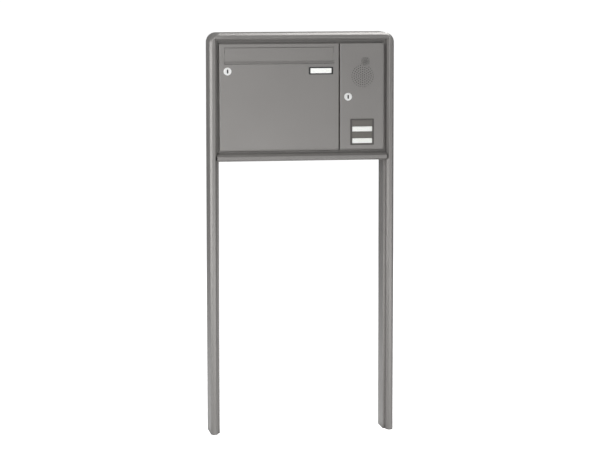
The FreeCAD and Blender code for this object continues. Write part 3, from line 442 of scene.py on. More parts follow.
# %% Effect: moulded grain
def build_moulded_grain():
    effect, given = new_effect(
        "Moulded Grain",
        [("Colour", "Color", rgb(0.05, 0.05, 0.05)), ("Cell Size", "Float", 0.0005),
         ("Shade", "Float", 0.12), ("Gloss", "Float", 0.5)],
        [("Colour", "Color"), ("Roughness", "Float"), ("Height", "Float")])
    place = place_on_object(effect)
    cells = node(effect, "TexVoronoi", {"Vector": place,
                                        "Scale": per_metre(effect, given["Cell Size"])},
                 feature="SMOOTH_F1")
    top = spread(effect, cells.outputs["Distance"], 0.6, 0.2)
    haze = noise(effect, place, 140.0, 4.0)
    level = maths(effect, "ADD", 1.0, maths(
        effect, "MULTIPLY", maths(effect, "SUBTRACT", maths(effect, "ADD", top, haze), 1.0),
        given["Shade"]))
    colour = scale_colour(effect, given["Colour"], level)
    rough = maths(effect, "SUBTRACT", given["Gloss"], maths(effect, "MULTIPLY", haze, 0.1))
    close_effect(effect, Colour=colour, Roughness=rough, Height=top)
    return effect


moulded_grain_effect = build_moulded_grain()
print("effect:", moulded_grain_effect.name)

# %% [markdown]
# ## Building a finish
# A finish is a material with a Principled BSDF. What is the same all over, such as coat or sheen,
# is set on its sockets. What changes over the surface comes from the effects above. `begin_finish`
# makes the material, and `add_bump` turns an effect's height into a normal.

# %% Helpers for finishes
def begin_finish(name, **plain):
    finish = bpy.data.materials.new(name)
    finish.use_nodes = True
    tree = finish.node_tree
    surface = tree.nodes["Principled BSDF"]
    for label, value in plain.items():
        surface.inputs[label.replace("_", " ")].default_value = value
    return finish, tree, surface


def add_bump(tree, surface, height, depth):
    bump = node(tree, "Bump", {"Distance": depth, "Height": height})
    tree.links.new(bump.outputs["Normal"], surface.inputs["Normal"])


def join(tree, source, surface, label):
    tree.links.new(source, surface.inputs[label])

# %% [markdown]
# ## The painted parts
# Posts and rails are extruded aluminium, the corner caps are cast, and the doors and housings are
# sheet steel. They share one grey coat. The caps get more peel, because cast skin is rougher, and
# the housings less dust, because they are inside.

# %% Powder-coated finishes
COAT_GREY = rgb(0.265, 0.256, 0.248)
WORN_GREY = rgb(0.36, 0.35, 0.34)
COAT_METAL = 0.5


def powder_finish(name, tone=1.0, peel=0.0014, peel_depth=0.00004, gloss=0.44, dust=0.1, wear=0.5,
                  painted_shade=0.75):
    finish, tree, surface = begin_finish(name, Specular_IOR_Level=0.5)
    grey = rgb(*[channel * tone for channel in COAT_GREY[:3]])
    coat = use_effect(tree, powder_coat_effect, Colour=grey, Peel_Size=peel, Gloss=gloss)
    worn = use_effect(tree, edge_wear_effect, Colour=coat["Colour"], Worn_Colour=WORN_GREY,
                      Amount=wear)
    # Dust on faces that look up, and painted shade: the coat darkened in narrow gaps and recesses.
    dust_and_shade = use_effect(tree, dust_and_painted_shade_effect, Colour=worn["Colour"], Amount=dust,
                       Grime_Amount=painted_shade)
    join(tree, dust_and_shade["Colour"], surface, "Base Color")
    dull = maths(tree, "ADD", coat["Roughness"], maths(tree, "MULTIPLY", dust_and_shade["Mask"], 0.6))
    join(tree, dull, surface, "Roughness")
    metal = spread(tree, worn["Mask"], 0.0, 1.0, COAT_METAL, 0.8)
    join(tree, metal, surface, "Metallic")
    add_bump(tree, surface, coat["Height"], peel_depth)
    return finish


finishes = {
    "frame_profile": powder_finish("frame_powder_coat", gloss=0.35, dust=0.16),
    "corner_cast": powder_finish("corner_powder_coat", tone=1.03, peel=0.0018, peel_depth=0.00006,
                                 gloss=0.37, dust=0.16),
    "door_paint": powder_finish("door_powder_coat", tone=1.09, gloss=0.38, dust=0.08),
    "housing_paint": powder_finish("housing_powder_coat", tone=0.96, gloss=0.5, dust=0.04,
                                   wear=0.35),
}
print("painted finishes:", len(finishes))

# %% [markdown]
# ## Metal hardware
# Brackets, pins and screws are zinc plated, the locks are satin nickel and the corner angles are
# bare aluminium. All use the same grain effect, and only the colour, line size and gloss differ.

# %% Metal finishes
def metal_finish(name, colour, tint, gloss, line=0.00025, length=0.02, mottle=0.6, depth=0.000012,
                 metallic=1.0):
    finish, tree, surface = begin_finish(name, Metallic=metallic)
    grain = use_effect(tree, metal_grain_effect, Colour=colour, Tint_Colour=tint, Line_Width=line,
                       Line_Length=length, Mottle=mottle, Gloss=gloss)
    dust_and_shade = use_effect(tree, dust_and_painted_shade_effect, Colour=grain["Colour"], Amount=0.05)
    join(tree, dust_and_shade["Colour"], surface, "Base Color")
    join(tree, grain["Roughness"], surface, "Roughness")
    add_bump(tree, surface, grain["Height"], depth)
    return finish


finishes["zinc_steel"] = metal_finish("zinc_plate", rgb(0.66, 0.66, 0.64), rgb(0.58, 0.61, 0.66),
                                      0.36)
finishes["raw_aluminium"] = metal_finish("raw_aluminium", rgb(0.74, 0.74, 0.75),
                                         rgb(0.68, 0.69, 0.7), 0.4, line=0.0004, length=0.06,
                                         mottle=0.3)
finishes["lock_metal"] = metal_finish("satin_nickel", rgb(0.95, 0.95, 0.94), rgb(0.9, 0.91, 0.92),
                                      0.3, line=0.00012, length=0.004, mottle=0.3,
                                      depth=0.000006, metallic=0.55)
finishes["speaker_metal"] = metal_finish("speaker_steel", rgb(0.2, 0.2, 0.21),
                                         rgb(0.28, 0.28, 0.27), 0.45, mottle=0.8)
print("metal finishes ready, in all:", len(finishes))

# %% [markdown]
# ## Plastic and rubber
# The nameplate and the bell module are glass-filled plastic, whose fibres leave a slightly mottled
# grey-brown. Rubber is darker and duller, with a coarser grain and a little bloom.

# %% Moulded finishes
def moulded_finish(name, colour, gloss, cell=0.0005, shade=0.12, depth=0.00003, sheen=0.0,
                   dust=0.05):
    finish, tree, surface = begin_finish(name, Sheen_Weight=sheen)
    grain = use_effect(tree, moulded_grain_effect, Colour=colour, Cell_Size=cell, Shade=shade,
                       Gloss=gloss)
    worn = use_effect(tree, edge_wear_effect, Colour=grain["Colour"],
                      Worn_Colour=rgb(*[min(1.0, 1.9 * c + 0.02) for c in colour[:3]]),
                      Edge_Radius=0.0004, Amount=0.6)
    dust_and_shade = use_effect(tree, dust_and_painted_shade_effect, Colour=worn["Colour"], Amount=dust)
    join(tree, dust_and_shade["Colour"], surface, "Base Color")
    join(tree, grain["Roughness"], surface, "Roughness")
    add_bump(tree, surface, grain["Height"], depth)
    return finish


finishes["dark_plastic"] = moulded_finish("black_plastic", rgb(0.03, 0.03, 0.031), 0.42)
bronze_plastic = moulded_finish("bronze_plastic", rgb(0.086, 0.081, 0.077), 0.42)
push_bar_plastic = moulded_finish("push_bar_plastic", rgb(0.125, 0.119, 0.108), 0.5, cell=0.0007)
finishes["rubber"] = moulded_finish("rubber", rgb(0.02, 0.02, 0.02), 0.7, cell=0.0009,
                                    shade=0.2, sheen=0.15, dust=0.12)
finishes["speaker_paper"] = moulded_finish("speaker_paper", rgb(0.025, 0.025, 0.026), 0.85,
                                           cell=0.0011, shade=0.3)
print("moulded finishes ready, in all:", len(finishes))

# %% [markdown]
# ## Cards, windows and boards
# The name cards are plain white card: fine fibres and a hint of yellowing. They carry no print. In
# front of each lies a clear acrylic window, which keeps a plain transmission value so that it stays
# glass everywhere. The boards are glass fibre under green solder mask.

# %% Card, window and board finishes
def card_finish():
    finish, tree, surface = begin_finish("white_card", Roughness=0.8)
    place = place_on_object(tree)
    fibre = noise(tree, place, 2600.0, 4.0, 0.7)
    blotch = noise(tree, place, 60.0, 3.0)
    paper = mix_colours(tree, spread(tree, fibre, 0.3, 0.7), rgb(0.9, 0.9, 0.88),
                        rgb(0.96, 0.96, 0.95))
    aged = mix_colours(tree, spread(tree, blotch, 0.45, 0.8, 0.0, 0.2), paper,
                       rgb(0.88, 0.85, 0.76))
    join(tree, aged, surface, "Base Color")
    add_bump(tree, surface, fibre, 0.00002)
    return finish


def window_finish():
    finish, tree, surface = begin_finish("clear_acrylic", Transmission_Weight=1.0, IOR=1.49,
                                         Metallic=0.0)
    surface.inputs["Base Color"].default_value = rgb(0.98, 0.99, 0.99)
    smear = noise(tree, place_on_object(tree), 90.0, 5.0, 0.6)
    join(tree, spread(tree, smear, 0.35, 0.75, 0.03, 0.14), surface, "Roughness")
    return finish


def board_finish():
    finish, tree, surface = begin_finish("solder_mask", Coat_Weight=0.6, Coat_Roughness=0.15)
    place = place_on_object(tree)
    weave = node(tree, "TexWave", {"Vector": place, "Scale": 420.0, "Distortion": 0.4},
                 wave_type="BANDS", bands_direction="Z").outputs["Fac"]
    other = node(tree, "TexWave", {"Vector": place, "Scale": 420.0, "Distortion": 0.4},
                 wave_type="BANDS", bands_direction="X").outputs["Fac"]
    cloth = maths(tree, "MULTIPLY", maths(tree, "ADD", weave, other), 0.5)
    mask = mix_colours(tree, cloth, rgb(0.006, 0.07, 0.028), rgb(0.012, 0.115, 0.045))
    join(tree, mask, surface, "Base Color")
    join(tree, spread(tree, cloth, 0.0, 1.0, 0.32, 0.42), surface, "Roughness")
    add_bump(tree, surface, cloth, 0.00001)
    return finish


finishes["card"] = card_finish()
finishes["clear_window"] = window_finish()
finishes["circuit_board"] = board_finish()
print("finishes in all:", len(finishes))

# %% [markdown]
# ## Giving each CAD part its finish
# The record names a material slot for every part, so one loop covers them all. Two kinds of plastic
# share a slot there and differ on the object, so those few are set by name. The clear windows cast
# no shadow, because a path tracer would otherwise leave the cards behind them in the dark.

# %% Finishes on the CAD parts
OWN_FINISH = {"bell_module_frame": bronze_plastic, "light_button": push_bar_plastic,
              "bell_button": push_bar_plastic}


def set_finish(part, finish):
    part.data.materials.clear()
    part.data.materials.append(finish)


part_slot = {row["node"]: row["material_slot"] for row in frame["record"]["subparts"]}
for part_name, part in nodes.items():
    set_finish(part, OWN_FINISH.get(part_name, finishes[part_slot[part_name]]))
for window in ("name_window", "bell_windows"):
    nodes[window].visible_shadow = False
print("parts with a finish:", len(nodes))

# %% [markdown]
# ## Finding each solid of a CAD part
# Several parts hold more than one solid, such as eight screws or two springs. To put a detailed
# piece in the place of each, the script needs their boxes. Joined faces share points once doubles
# are merged, so walking from face to face collects one solid at a time.

# %% Boxes of the solids in a part
def solids_of(part_name):
    """(lowest corner, highest corner) of each solid in a CAD part, sorted by place."""
    shape = bmesh.new()
    shape.from_mesh(nodes[part_name].data)
    bmesh.ops.remove_doubles(shape, verts=shape.verts, dist=1e-6)
    unseen = set(shape.verts)
    boxes = []
    while unseen:
        front = [unseen.pop()]
        island = []
        while front:
            point = front.pop()
            island.append(point.co.copy())
            for edge in point.link_edges:
                other = edge.other_vert(point)
                if other in unseen:
                    unseen.remove(other)
                    front.append(other)
        boxes.append((Vector([min(p[i] for p in island) for i in range(3)]),
                      Vector([max(p[i] for p in island) for i in range(3)])))
    shape.free()
    return sorted(boxes, key=lambda pair: [round(v, 4) for v in pair[0]])


for part_name in ("housing_side_screws", "back_panel_screws", "flap_springs"):
    print(part_name, len(solids_of(part_name)))

# %% [markdown]
# ## Making a mesh from rings
# Turned parts, springs and wires are all rows of rings joined by faces. `skin_rings` joins rings
# that have the same number of points and caps the ends. `turn` makes the rings from a profile, as
# a lathe does, and `sweep` carries a round section along a path.

# %% Helpers for turned and swept shapes
def skin_rings(shape, rings, loop=False):
    """Joins rings of equal length. The ends are capped, or joined to each other in a loop."""
    rows = [[shape.verts.new(point) for point in ring] for ring in rings]
    count = len(rows[0])
    for row, following in zip(rows, rows[1:] + (rows[:1] if loop else [])):
        for i in range(count):
            j = (i + 1) % count
            shape.faces.new((row[i], row[j], following[j], following[i]))
    if not loop:
        shape.faces.new(list(reversed(rows[0])))
        shape.faces.new(rows[-1])


def turn(shape, profile, place, steps=32, wobble=None, loop=False):
    """Turns a profile of (radius, height) pairs about Z, then puts it in place with a matrix.
    wobble(radius, angle, row) may change the radius round the ring."""
    rings = []
    for row, (radius, height) in enumerate(profile):
        ring = []
        for step in range(steps):
            angle = 2 * math.pi * step / steps
            reach = wobble(radius, angle, row) if wobble else radius
            ring.append(place @ Vector((reach * math.cos(angle), reach * math.sin(angle), height)))
        rings.append(ring)
    skin_rings(shape, rings, loop)


def sweep(shape, path, radius, steps=10):
    """Carries a circle along a path, turning it as little as possible from point to point."""
    rings = []
    side = None
    for i, point in enumerate(path):
        ahead = (path[min(i + 1, len(path) - 1)] - path[max(i - 1, 0)]).normalized()
        if side is None:
            side = ahead.orthogonal().normalized()
        side = (side - ahead * side.dot(ahead)).normalized()
        other = ahead.cross(side)
        rings.append([point + radius * (math.cos(a) * side + math.sin(a) * other)
                      for a in (2 * math.pi * s / steps for s in range(steps))])
    skin_rings(shape, rings)


def aim(place, direction):
    """Matrix that puts local Z along direction, at place."""
    turn_to = Vector(direction).to_track_quat("Z", "Y").to_matrix().to_4x4()
    return Matrix.Translation(place) @ turn_to


def front_middle(part_name):
    """Middle of the front face of a part's box."""
    low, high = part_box(part_name)
    return Vector(((low.x + high.x) / 2, low.y, (low.z + high.z) / 2))


SHARP_ANGLE = math.radians(32)


def finish_piece(name, shape, finish, body, sharp=SHARP_ANGLE):
    """Turns the built shape into a piece that has a finish and a body to ride on."""
    bmesh.ops.recalc_face_normals(shape, faces=shape.faces)
    mesh = bpy.data.meshes.new(name)
    shape.to_mesh(mesh)
    shape.free()
    mesh.shade_smooth()
    mesh.set_sharp_from_angle(angle=sharp)
    mesh.materials.append(finish)
    piece = bpy.data.objects.new(name, mesh)
    bpy.context.scene.collection.objects.link(piece)
    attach(piece, body)
    return piece

# %% [markdown]
# ## Screws
# The CAD screws are plain, so each is replaced by one with a domed head, a six-lobed socket for the
# driver and a rolled thread. The socket is not cut out with a boolean. The rings of the head simply
# run down into it, and their radius swells and shrinks six times round the ring, which gives clean
# faces. The thread is a row of rings that narrow and widen, as a true helix would look the same
# at this size.

# %% Screws
LOBES = 6
LOBE_DEPTH = 0.17
THREAD_PITCH = 0.8 * MM


def screw_profile(head_radius, head_height, shank_radius, length):
    """(radius, height) from the bottom of the socket, over the head and down to the tip."""
    socket = head_radius * 0.42
    profile = [(socket * 0.5, head_height * 0.25), (socket * 0.96, head_height * 0.3),
               (socket, head_height * 0.92), (socket * 1.12, head_height * 0.985)]
    for step in range(7):
        angle = math.pi / 2 * step / 6
        reach = socket * 1.3 + (head_radius - socket * 1.3) * math.sin(angle)
        profile.append((reach, head_height * (0.22 + 0.78 * math.cos(angle) ** 0.8)
                        if step < 6 else head_height * 0.22))
    profile.append((head_radius, 0.0))
    if not shank_radius:
        return profile
    profile.append((shank_radius, 0.0))
    turns = max(2, int(length / THREAD_PITCH))
    for ridge in range(turns):
        down = -length * (ridge + 0.5) / turns
        profile.append((shank_radius, down + 0.25 * length / turns))
        profile.append((shank_radius * 0.8, down))
    profile += [(shank_radius * 0.75, -length * 0.97), (shank_radius * 0.45, -length)]
    return profile


def lobed(radius, angle, row):
    return radius * (1 + LOBE_DEPTH * math.cos(LOBES * angle)) if row < 3 else radius


def screws_in_place(part_name, way, head_height, shank_radius):
    """Replaces a part's screws. Their heads point along way, or inwards where way is None."""
    shape = bmesh.new()
    for low, high in solids_of(part_name):
        centre = (low + high) / 2
        out = Vector(way) if way else Vector((-math.copysign(1, centre.x), 0, 0))
        axis = max(range(3), key=lambda i: abs(out[i]))
        across = (axis + 1) % 3
        head_radius = (high[across] - low[across]) / 2
        length = (high[axis] - low[axis]) - head_height
        seat = centre.copy()
        seat[axis] = (high[axis] if out[axis] > 0 else low[axis]) - out[axis] * head_height
        turn(shape, screw_profile(head_radius, head_height, shank_radius, length),
             aim(seat, out), steps=36, wobble=lobed)
    return shape

# %% Screws in their places
SCREW_HEAD = 1.8 * MM
SCREW_SHANK = 2.0 * MM
SHOE_SCREW_HEAD = 2.2 * MM
SHOE_SCREW_SHANK = 2.5 * MM
BACKWARDS = (0, 1, 0)
FORWARDS = (0, -1, 0)
SCREW_PARTS = [
    ("housing_side_screws", "frame", None, SCREW_HEAD, SCREW_SHANK),
    ("rail_shoe_screws", "frame", None, SHOE_SCREW_HEAD, SHOE_SCREW_SHANK),
    ("back_panel_screws", "frame", BACKWARDS, SCREW_HEAD, SCREW_SHANK),
    ("mail_slot_screws", "mailbox_door", BACKWARDS, SCREW_HEAD, 0.0),
    ("mailbox_cam_screw", "mailbox_lock_plug", BACKWARDS, SCREW_HEAD, 0.0),
    ("intercom_cam_screw", "intercom_lock_plug", BACKWARDS, SCREW_HEAD, 0.0),
]

for part_name, body, way, head, shank in SCREW_PARTS:
    screws = finish_piece("driven_" + part_name, screws_in_place(part_name, way, head, shank),
                          finishes["zinc_steel"], body)
    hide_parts(part_name)
    print(screws.name, len(screws.data.vertices), "points")

# %% [markdown]
# ## Flap springs
# Two torsion springs sit on the flap's pin and push it shut. The CAD part has plain tubes in their
# place. A real one is a wire wound round the pin, with a leg at each end. Only the coil is made
# here, because the legs would lie out of sight between the flap and the door. The wire follows a
# helix, and `sweep` gives it its section.

# %% Wound springs
SPRING_WIRE = 0.45 * MM
COIL_TURNS = 11
COIL_STEPS = 20


def wind_spring(shape, low, high):
    """Helix along X that fills the box of one spring."""
    centre = (low + high) / 2
    coil = (high.z - low.z) / 2 - SPRING_WIRE
    start = low.x + SPRING_WIRE
    run = (high.x - low.x) - 2 * SPRING_WIRE
    path = []
    for step in range(COIL_TURNS * COIL_STEPS + 1):
        angle = 2 * math.pi * step / COIL_STEPS
        path.append(Vector((start + run * step / (COIL_TURNS * COIL_STEPS),
                            centre.y + coil * math.sin(angle), centre.z - coil * math.cos(angle))))
    sweep(shape, path, SPRING_WIRE, steps=8)


springs = bmesh.new()
for spring_box in solids_of("flap_springs"):
    wind_spring(springs, *spring_box)
wound_springs = finish_piece("wound_flap_springs", springs, finishes["zinc_steel"],
                             "mailbox_door", sharp=math.radians(60))
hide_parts("flap_springs")
print("springs", len(wound_springs.data.vertices), "points")

# %% [markdown]
# ## Lock faces
# A cam lock shows a round flange with the plug in its middle, and a dark upright key slot. The plug
# gets a near-black insert with rounded ends, standing a hair proud and lining the keyway: painted
# shade, so that the slot reads dark, and wider than the slot itself. The flange gets a raised bead
# round the plug. Both are rings joined in rows: the insert's rings are rounded slots that go over
# its lip and down into the keyway, and the bead is a small profile turned into a closed loop.

# %% Keyway shade inserts and flange beads
# Painted shade: the near-black steel of the keyway insert stands for the shade in the key slot.
keyway_shade_steel = metal_finish("keyway_shade_steel", rgb(0.035, 0.035, 0.037), rgb(0.05, 0.05, 0.052), 0.4,
                         mottle=0.3, metallic=0.6)
INSERT_HALF = (2.1 * MM, 6.0 * MM)
KEYWAY_HALF = (0.85 * MM, 4.7 * MM)
CHANNEL_HALF = (1.12 * MM, 5.1 * MM)
INSERT_PROUD = 0.2 * MM
KEYWAY_DEEP = 3.0 * MM


def slot_ring(centre, half_wide, half_high, depth, steps=10):
    """Rounded slot in a plane that faces the front, at a depth behind the centre."""
    ring = []
    for end in (0, 1):
        for step in range(steps + 1):
            angle = math.pi * (step / steps + end)
            x = half_wide * math.cos(angle)
            z = half_wide * math.sin(angle) + (half_high - half_wide) * (1 - 2 * end)
            ring.append(centre + Vector((x, depth, z)))
    return ring


def keyway_shade_insert(plug_name):
    centre = front_middle(plug_name)
    lip = [half - 0.25 * MM for half in INSERT_HALF]
    rings = [slot_ring(centre, *KEYWAY_HALF, KEYWAY_DEEP - 0.3 * MM),
             slot_ring(centre, *KEYWAY_HALF, -INSERT_PROUD + 0.25 * MM),
             slot_ring(centre, *[half + 0.2 * MM for half in KEYWAY_HALF], -INSERT_PROUD),
             slot_ring(centre, *lip, -INSERT_PROUD),
             slot_ring(centre, *INSERT_HALF, -INSERT_PROUD / 2),
             slot_ring(centre, *INSERT_HALF, -0.01 * MM),
             slot_ring(centre, *CHANNEL_HALF, -0.01 * MM),
             slot_ring(centre, *CHANNEL_HALF, KEYWAY_DEEP)]
    shape = bmesh.new()
    skin_rings(shape, rings)
    return shape


def flange_bead(body_name, plug_name):
    low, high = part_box(plug_name)
    centre = front_middle(plug_name)
    centre.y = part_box(body_name)[0].y
    radius = (high.x - low.x) / 2
    profile = [(radius + 0.35 * MM, -0.1 * MM), (radius + 0.35 * MM, 0.12 * MM),
               (radius + 0.6 * MM, 0.26 * MM), (radius + 1.0 * MM, 0.3 * MM),
               (radius + 1.4 * MM, 0.26 * MM), (radius + 1.65 * MM, 0.12 * MM),
               (radius + 1.65 * MM, -0.1 * MM)]
    shape = bmesh.new()
    turn(shape, profile, aim(centre, FORWARDS), steps=64, loop=True)
    return shape


for door in ("mailbox", "intercom"):
    shade_insert = finish_piece(door + "_keyway_shade_insert", keyway_shade_insert(door + "_lock_plug"), keyway_shade_steel,
                          door + "_lock_plug")
    bead = finish_piece(door + "_lock_bead",
                        flange_bead(door + "_lock_body", door + "_lock_plug"),
                        finishes["lock_metal"], door + "_door")
    print(shade_insert.name, bead.name)

# %% [markdown]
# ## Gauze and painted shade behind the speaker holes
# Intercoms often have black gauze glued behind the speaking holes, against insects and rain. Here
# its near-black colour is also painted shade, hiding the bright rim of the speaker, which would
# show through the outer holes. It is a thin disc with a slightly raised hem, turned like the other
# round parts.

# %% Gauze and painted shade
GAUZE_RADIUS = 35.5 * MM
GAUZE_SHEET = 0.25 * MM
GAUZE_HEM = 0.04 * MM
GAUZE_EYE = 0.5 * MM       # a ring can't shrink to a point, so a small flat cap closes the middle
# Partly painted shade: this near-black cloth hides the speaker's rim and also lines the speaking
# holes.
gauze_and_shade_cloth = moulded_finish("black_gauze_and_shade", rgb(0.008, 0.008, 0.009), 0.9, cell=0.0004, shade=0.5,
                             depth=0.00008)


def make_gauze_and_shade():
    centre = front_middle("speaker")
    centre.y = min(centre.y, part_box("speaker_bracket")[0].y)
    profile = [(GAUZE_EYE, 0.0), (GAUZE_RADIUS - 1.2 * MM, 0.0),
               (GAUZE_RADIUS - 0.9 * MM, GAUZE_HEM), (GAUZE_RADIUS, GAUZE_HEM),
               (GAUZE_RADIUS, -GAUZE_SHEET), (GAUZE_EYE, -GAUZE_SHEET)]
    shape = bmesh.new()
    turn(shape, profile, aim(centre, FORWARDS), steps=72)
    return shape


gauze_and_shade_piece = finish_piece("speaker_gauze_and_shade", make_gauze_and_shade(), gauze_and_shade_cloth, "intercom_door")

# %% [markdown]
# ## What stands on the intercom's board
# The compartment behind the small door shows its main board when the door is open. The CAD board is
# a bare plate with a block of cable clamps. Here it gets its components: chips with their legs,
# tall capacitors, a relay, a few resistors and the clamp screws. Places are in millimetres from the
# middle of the board's front face, and heights are counted towards the door. Moulded blocks are
# stacks of rectangles with cut corners, cans and resistors are turned, and legs are bent wires.

# %% Helpers for the board's components
BOARD_FACE = front_middle("intercom_board")

def on_board(across, up, rise=0.0):
    """Point given in millimetres right and up from the board's middle, and off its face."""
    return BOARD_FACE + Vector((across, -rise, up)) * MM


def block(shape, centre, half_wide, half_high, height, foot=0.3, corner=0.4, draft=0.35):
    """Moulded block on the board: a waist at half height, drafted sides and a broken upper edge."""
    def ring(inset, rise):
        wide, high = half_wide - inset, half_high - inset
        corners = [(wide - corner, high), (wide, high - corner), (wide, corner - high),
                   (wide - corner, -high), (corner - wide, -high), (-wide, corner - high),
                   (-wide, high - corner), (corner - wide, high)]
        return [centre + Vector((x, -rise, z)) * MM for x, z in corners]

    waist = (foot + height) / 2
    skin_rings(shape, [ring(draft, foot), ring(0.0, waist - 0.1), ring(0.0, waist + 0.1),
                       ring(draft, height - 0.25), ring(draft + 0.25, height)])


def bent_wire(shape, points, radius):
    sweep(shape, [Vector(point) for point in points], radius * MM, steps=6)

# %% Components of the intercom's board
# Right, up, half width, half height and legs a side.
CHIPS = [(-20, 34, 3.2, 9.0, 7), (6, 30, 3.2, 7.0, 5), (-24, 2, 5.0, 5.0, 4)]
CHIP_TALL = 3.4
LEG_PITCH = 2.4
LEG_RADIUS = 0.25
RELAY_PLACE = (-24, -24)
RELAY_HALF = (9.5, 7.5)
RELAY_TALL = 14.0
# Right, up, radius and height.
CANS = [(26, 40, 5.0, 16.0), (27, 24, 4.0, 12.0), (12, 5, 3.2, 9.0), (21, 5, 3.2, 9.0)]
RESISTORS = [(-34, 14), (-34, 18.5), (-34, 23), (-6, -10), (-6, -14.5), (-6, -19), (24, -12)]
RESISTOR_HALF = 3.2
RESISTOR_UP = 1.5          # its axis above the board
TAIL_RADIUS = 0.28

packages = bmesh.new()
wires = bmesh.new()
for across, up, half_wide, half_high, legs in CHIPS:
    block(packages, on_board(across, up), half_wide, half_high, CHIP_TALL, foot=0.5)
    for leg in range(legs):
        level = up + (leg - (legs - 1) / 2) * LEG_PITCH
        for side in (-1, 1):
            reach = across + side * half_wide
            bent_wire(wires, [on_board(reach - side * 0.3, level, 1.9),
                              on_board(reach + side * 0.6, level, 1.9),
                              on_board(reach + side * 1.0, level, 1.5),
                              on_board(reach + side * 1.1, level, 0.05)], LEG_RADIUS)
block(packages, on_board(*RELAY_PLACE), *RELAY_HALF, RELAY_TALL, corner=0.8, draft=0.25)

cans = bmesh.new()
sleeves = bmesh.new()
for across, up, radius, height in CANS:
    place = aim(on_board(across, up), FORWARDS)
    turn(sleeves, [(r * MM, h * MM) for r, h in (
        (0.4, 0.3), (radius - 0.4, 0.3), (radius, 0.8), (radius, 1.5), (radius - 0.35, 2.0),
        (radius, 2.5), (radius, height - 0.7), (radius - 0.3, height - 0.15),
        (radius - 0.9, height - 0.1), (radius - 0.95, height - 0.3), (0.4, height - 0.3))], place)
    turn(cans, [(r * MM, h * MM) for r, h in (
        (0.3, height - 0.29), (radius - 1.0, height - 0.29), (radius - 1.1, height - 0.05),
        (radius - 1.7, height), (0.3, height - 0.12))], place)

bodies = bmesh.new()
for across, up in RESISTORS:
    start = on_board(across - RESISTOR_HALF, up, RESISTOR_UP)
    turn(bodies, [(r * MM, h * MM) for r, h in (
        (0.3, 0.0), (0.9, 0.1), (1.2, 0.5), (1.2, 1.2), (0.95, 1.8), (0.95, 4.6), (1.2, 5.2),
        (1.2, 5.9), (0.9, 6.3), (0.3, 6.4))], aim(start, (1, 0, 0)), steps=20)
    for side in (-1, 1):
        bent_wire(wires, [on_board(across + side * 3.0, up, RESISTOR_UP),
                          on_board(across + side * 4.2, up, RESISTOR_UP),
                          on_board(across + side * 4.7, up, 1.1),
                          on_board(across + side * 4.8, up, 0.05)], TAIL_RADIUS)

can_sleeve = moulded_finish("can_sleeve", rgb(0.02, 0.028, 0.05), 0.35, cell=0.002, shade=0.1,
                            depth=0.00001, dust=0.2)
ceramic = moulded_finish("resistor_lacquer", rgb(0.36, 0.2, 0.1), 0.4, cell=0.002, shade=0.2,
                         depth=0.00001, dust=0.2)
chip_body = moulded_finish("chip_body", rgb(0.018, 0.018, 0.019), 0.5, cell=0.0004, shade=0.1,
                           depth=0.00001, dust=0.2)
for name, shape, finish, slot in (
        ("board_chips", packages, chip_body, "dark_plastic"),
        ("board_can_sleeves", sleeves, can_sleeve, "dark_plastic"),
        ("board_can_tops", cans, finishes["raw_aluminium"], "raw_aluminium"),
        ("board_resistors", bodies, ceramic, "dark_plastic"),
        ("board_legs", wires, finishes["zinc_steel"], "zinc_steel")):
    piece = finish_piece(name, shape, finish, "frame")
    print(name, len(piece.data.vertices), "points")

# %% [markdown]
# ## Clamp screws
# Each way of the terminal block is clamped by a screw at the bottom of its hole. The screws reuse
# the profile of the other screws, without a shank, and stand along the block at even steps.

# %% Clamp screws
CLAMP_WAYS = 6
CLAMP_HEAD = 1.9 * MM
CLAMP_TALL = 1.4 * MM
CLAMP_DEEP = 2.8 * MM


def clamp_screws():
    low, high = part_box("terminal_block")
    shape = bmesh.new()
    for way in range(CLAMP_WAYS):
        seat = Vector((low.x + (high.x - low.x) * (way + 0.5) / CLAMP_WAYS, low.y + CLAMP_DEEP,
                       (low.z + high.z) / 2))
        turn(shape, screw_profile(CLAMP_HEAD, CLAMP_TALL, 0.0, 0.0), aim(seat, FORWARDS), steps=36,
             wobble=lobed)
    return shape


clamps = finish_piece("clamp_screws", clamp_screws(), finishes["zinc_steel"], "frame")
print(clamps.name, len(clamps.data.vertices), "points")
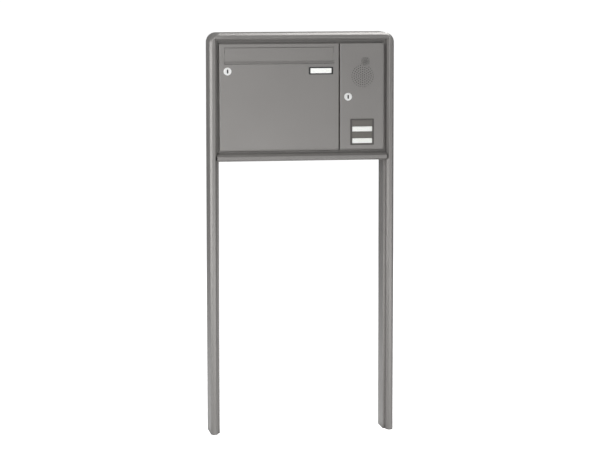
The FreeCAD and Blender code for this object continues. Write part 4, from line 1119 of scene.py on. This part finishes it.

# %% [markdown]
# ## Painted shade sleeves in the speaking holes
# The holes lie in rings over the speaker and in a tight square field over the microphone. From a
# few steps away they read as dark dots, but small bare holes through a painted sheet catch light on
# their walls and fade. The sleeves are an addition for looks and are painted shade: a thin
# near-black lining with a flat rim round each hole, so that the holes read as dark dots. The
# drilled holes stay as they are in CAD. All the sleeves are turned from one profile, at the places
# of the holes.

# %% Painted shade sleeves for the speaking holes
# In millimetres. Places are right of the door's left edge and below its top.
VOICE_PLACE = (70.0, 100.0)
VOICE_RINGS = 5
HOLES_PER_RING = 6                     # ring 1 has this many, ring 2 twice as many, and so on
VOICE_RING_STEP = 6.6
MIC_PLACE = (78.7, 55.8)
MIC_FIELD = 13.5
MIC_PITCH = 3.6
VOICE_SLEEVE = (0.84, 0.95, 1.42)      # bore, outside and rim radius
MIC_SLEEVE = (0.74, 0.85, 1.2)
SLEEVE_DEEP = 1.1
SLEEVE_PROUD = 0.05
SLEEVE_CLEAR = 0.005                   # keeps the rim's underside off the paint


def speaking_holes():
    """(right, down, sleeve) for each hole, in millimetres from the door's upper left corner."""
    holes = [(*VOICE_PLACE, VOICE_SLEEVE)]
    for ring in range(1, VOICE_RINGS + 1):
        count = HOLES_PER_RING * ring
        for step in range(count):
            angle = 2 * math.pi * (step + 0.5 * (ring % 2)) / count
            right = VOICE_PLACE[0] + ring * VOICE_RING_STEP * math.cos(angle)
            down = VOICE_PLACE[1] - ring * VOICE_RING_STEP * math.sin(angle)
            if math.hypot(right - MIC_PLACE[0], down - MIC_PLACE[1]) > MIC_FIELD + MIC_PITCH / 2:
                holes.append((right, down, VOICE_SLEEVE))
    rows = int(MIC_FIELD / MIC_PITCH)
    for row in range(-rows, rows + 1):
        for column in range(-rows, rows + 1):
            if math.hypot(column, row) * MIC_PITCH <= MIC_FIELD:
                holes.append((MIC_PLACE[0] + column * MIC_PITCH, MIC_PLACE[1] + row * MIC_PITCH,
                              MIC_SLEEVE))
    return holes


def make_shade_sleeves():
    low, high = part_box("intercom_door")
    shape = bmesh.new()
    for right, down, (bore, outside, rim) in speaking_holes():
        place = aim(Vector((low.x + right * MM, low.y, high.z - down * MM)), FORWARDS)
        profile = [(bore, -SLEEVE_DEEP), (bore, 0.0), (bore + 0.1, SLEEVE_PROUD),
                   (rim - 0.12, SLEEVE_PROUD), (rim, SLEEVE_CLEAR), (outside, SLEEVE_CLEAR),
                   (outside, -SLEEVE_DEEP)]
        turn(shape, [(radius * MM, height * MM) for radius, height in profile], place, steps=16,
             loop=True)
    return shape


# Painted shade: near-black sleeves with rims, so the holes read as dark dots.
shade_sleeves_in_door = finish_piece("speaking_hole_shade_sleeves", make_shade_sleeves(), gauze_and_shade_cloth,
                               "intercom_door")
print(len(speaking_holes()), "sleeves,", len(shade_sleeves_in_door.data.vertices), "points")

# %% [markdown]
# ## Sizes
# The box of the CAD model is printed.

# %% Print the CAD box
print("CAD box   ", [[round(v, 4) for v in corner] for corner in cad_box])
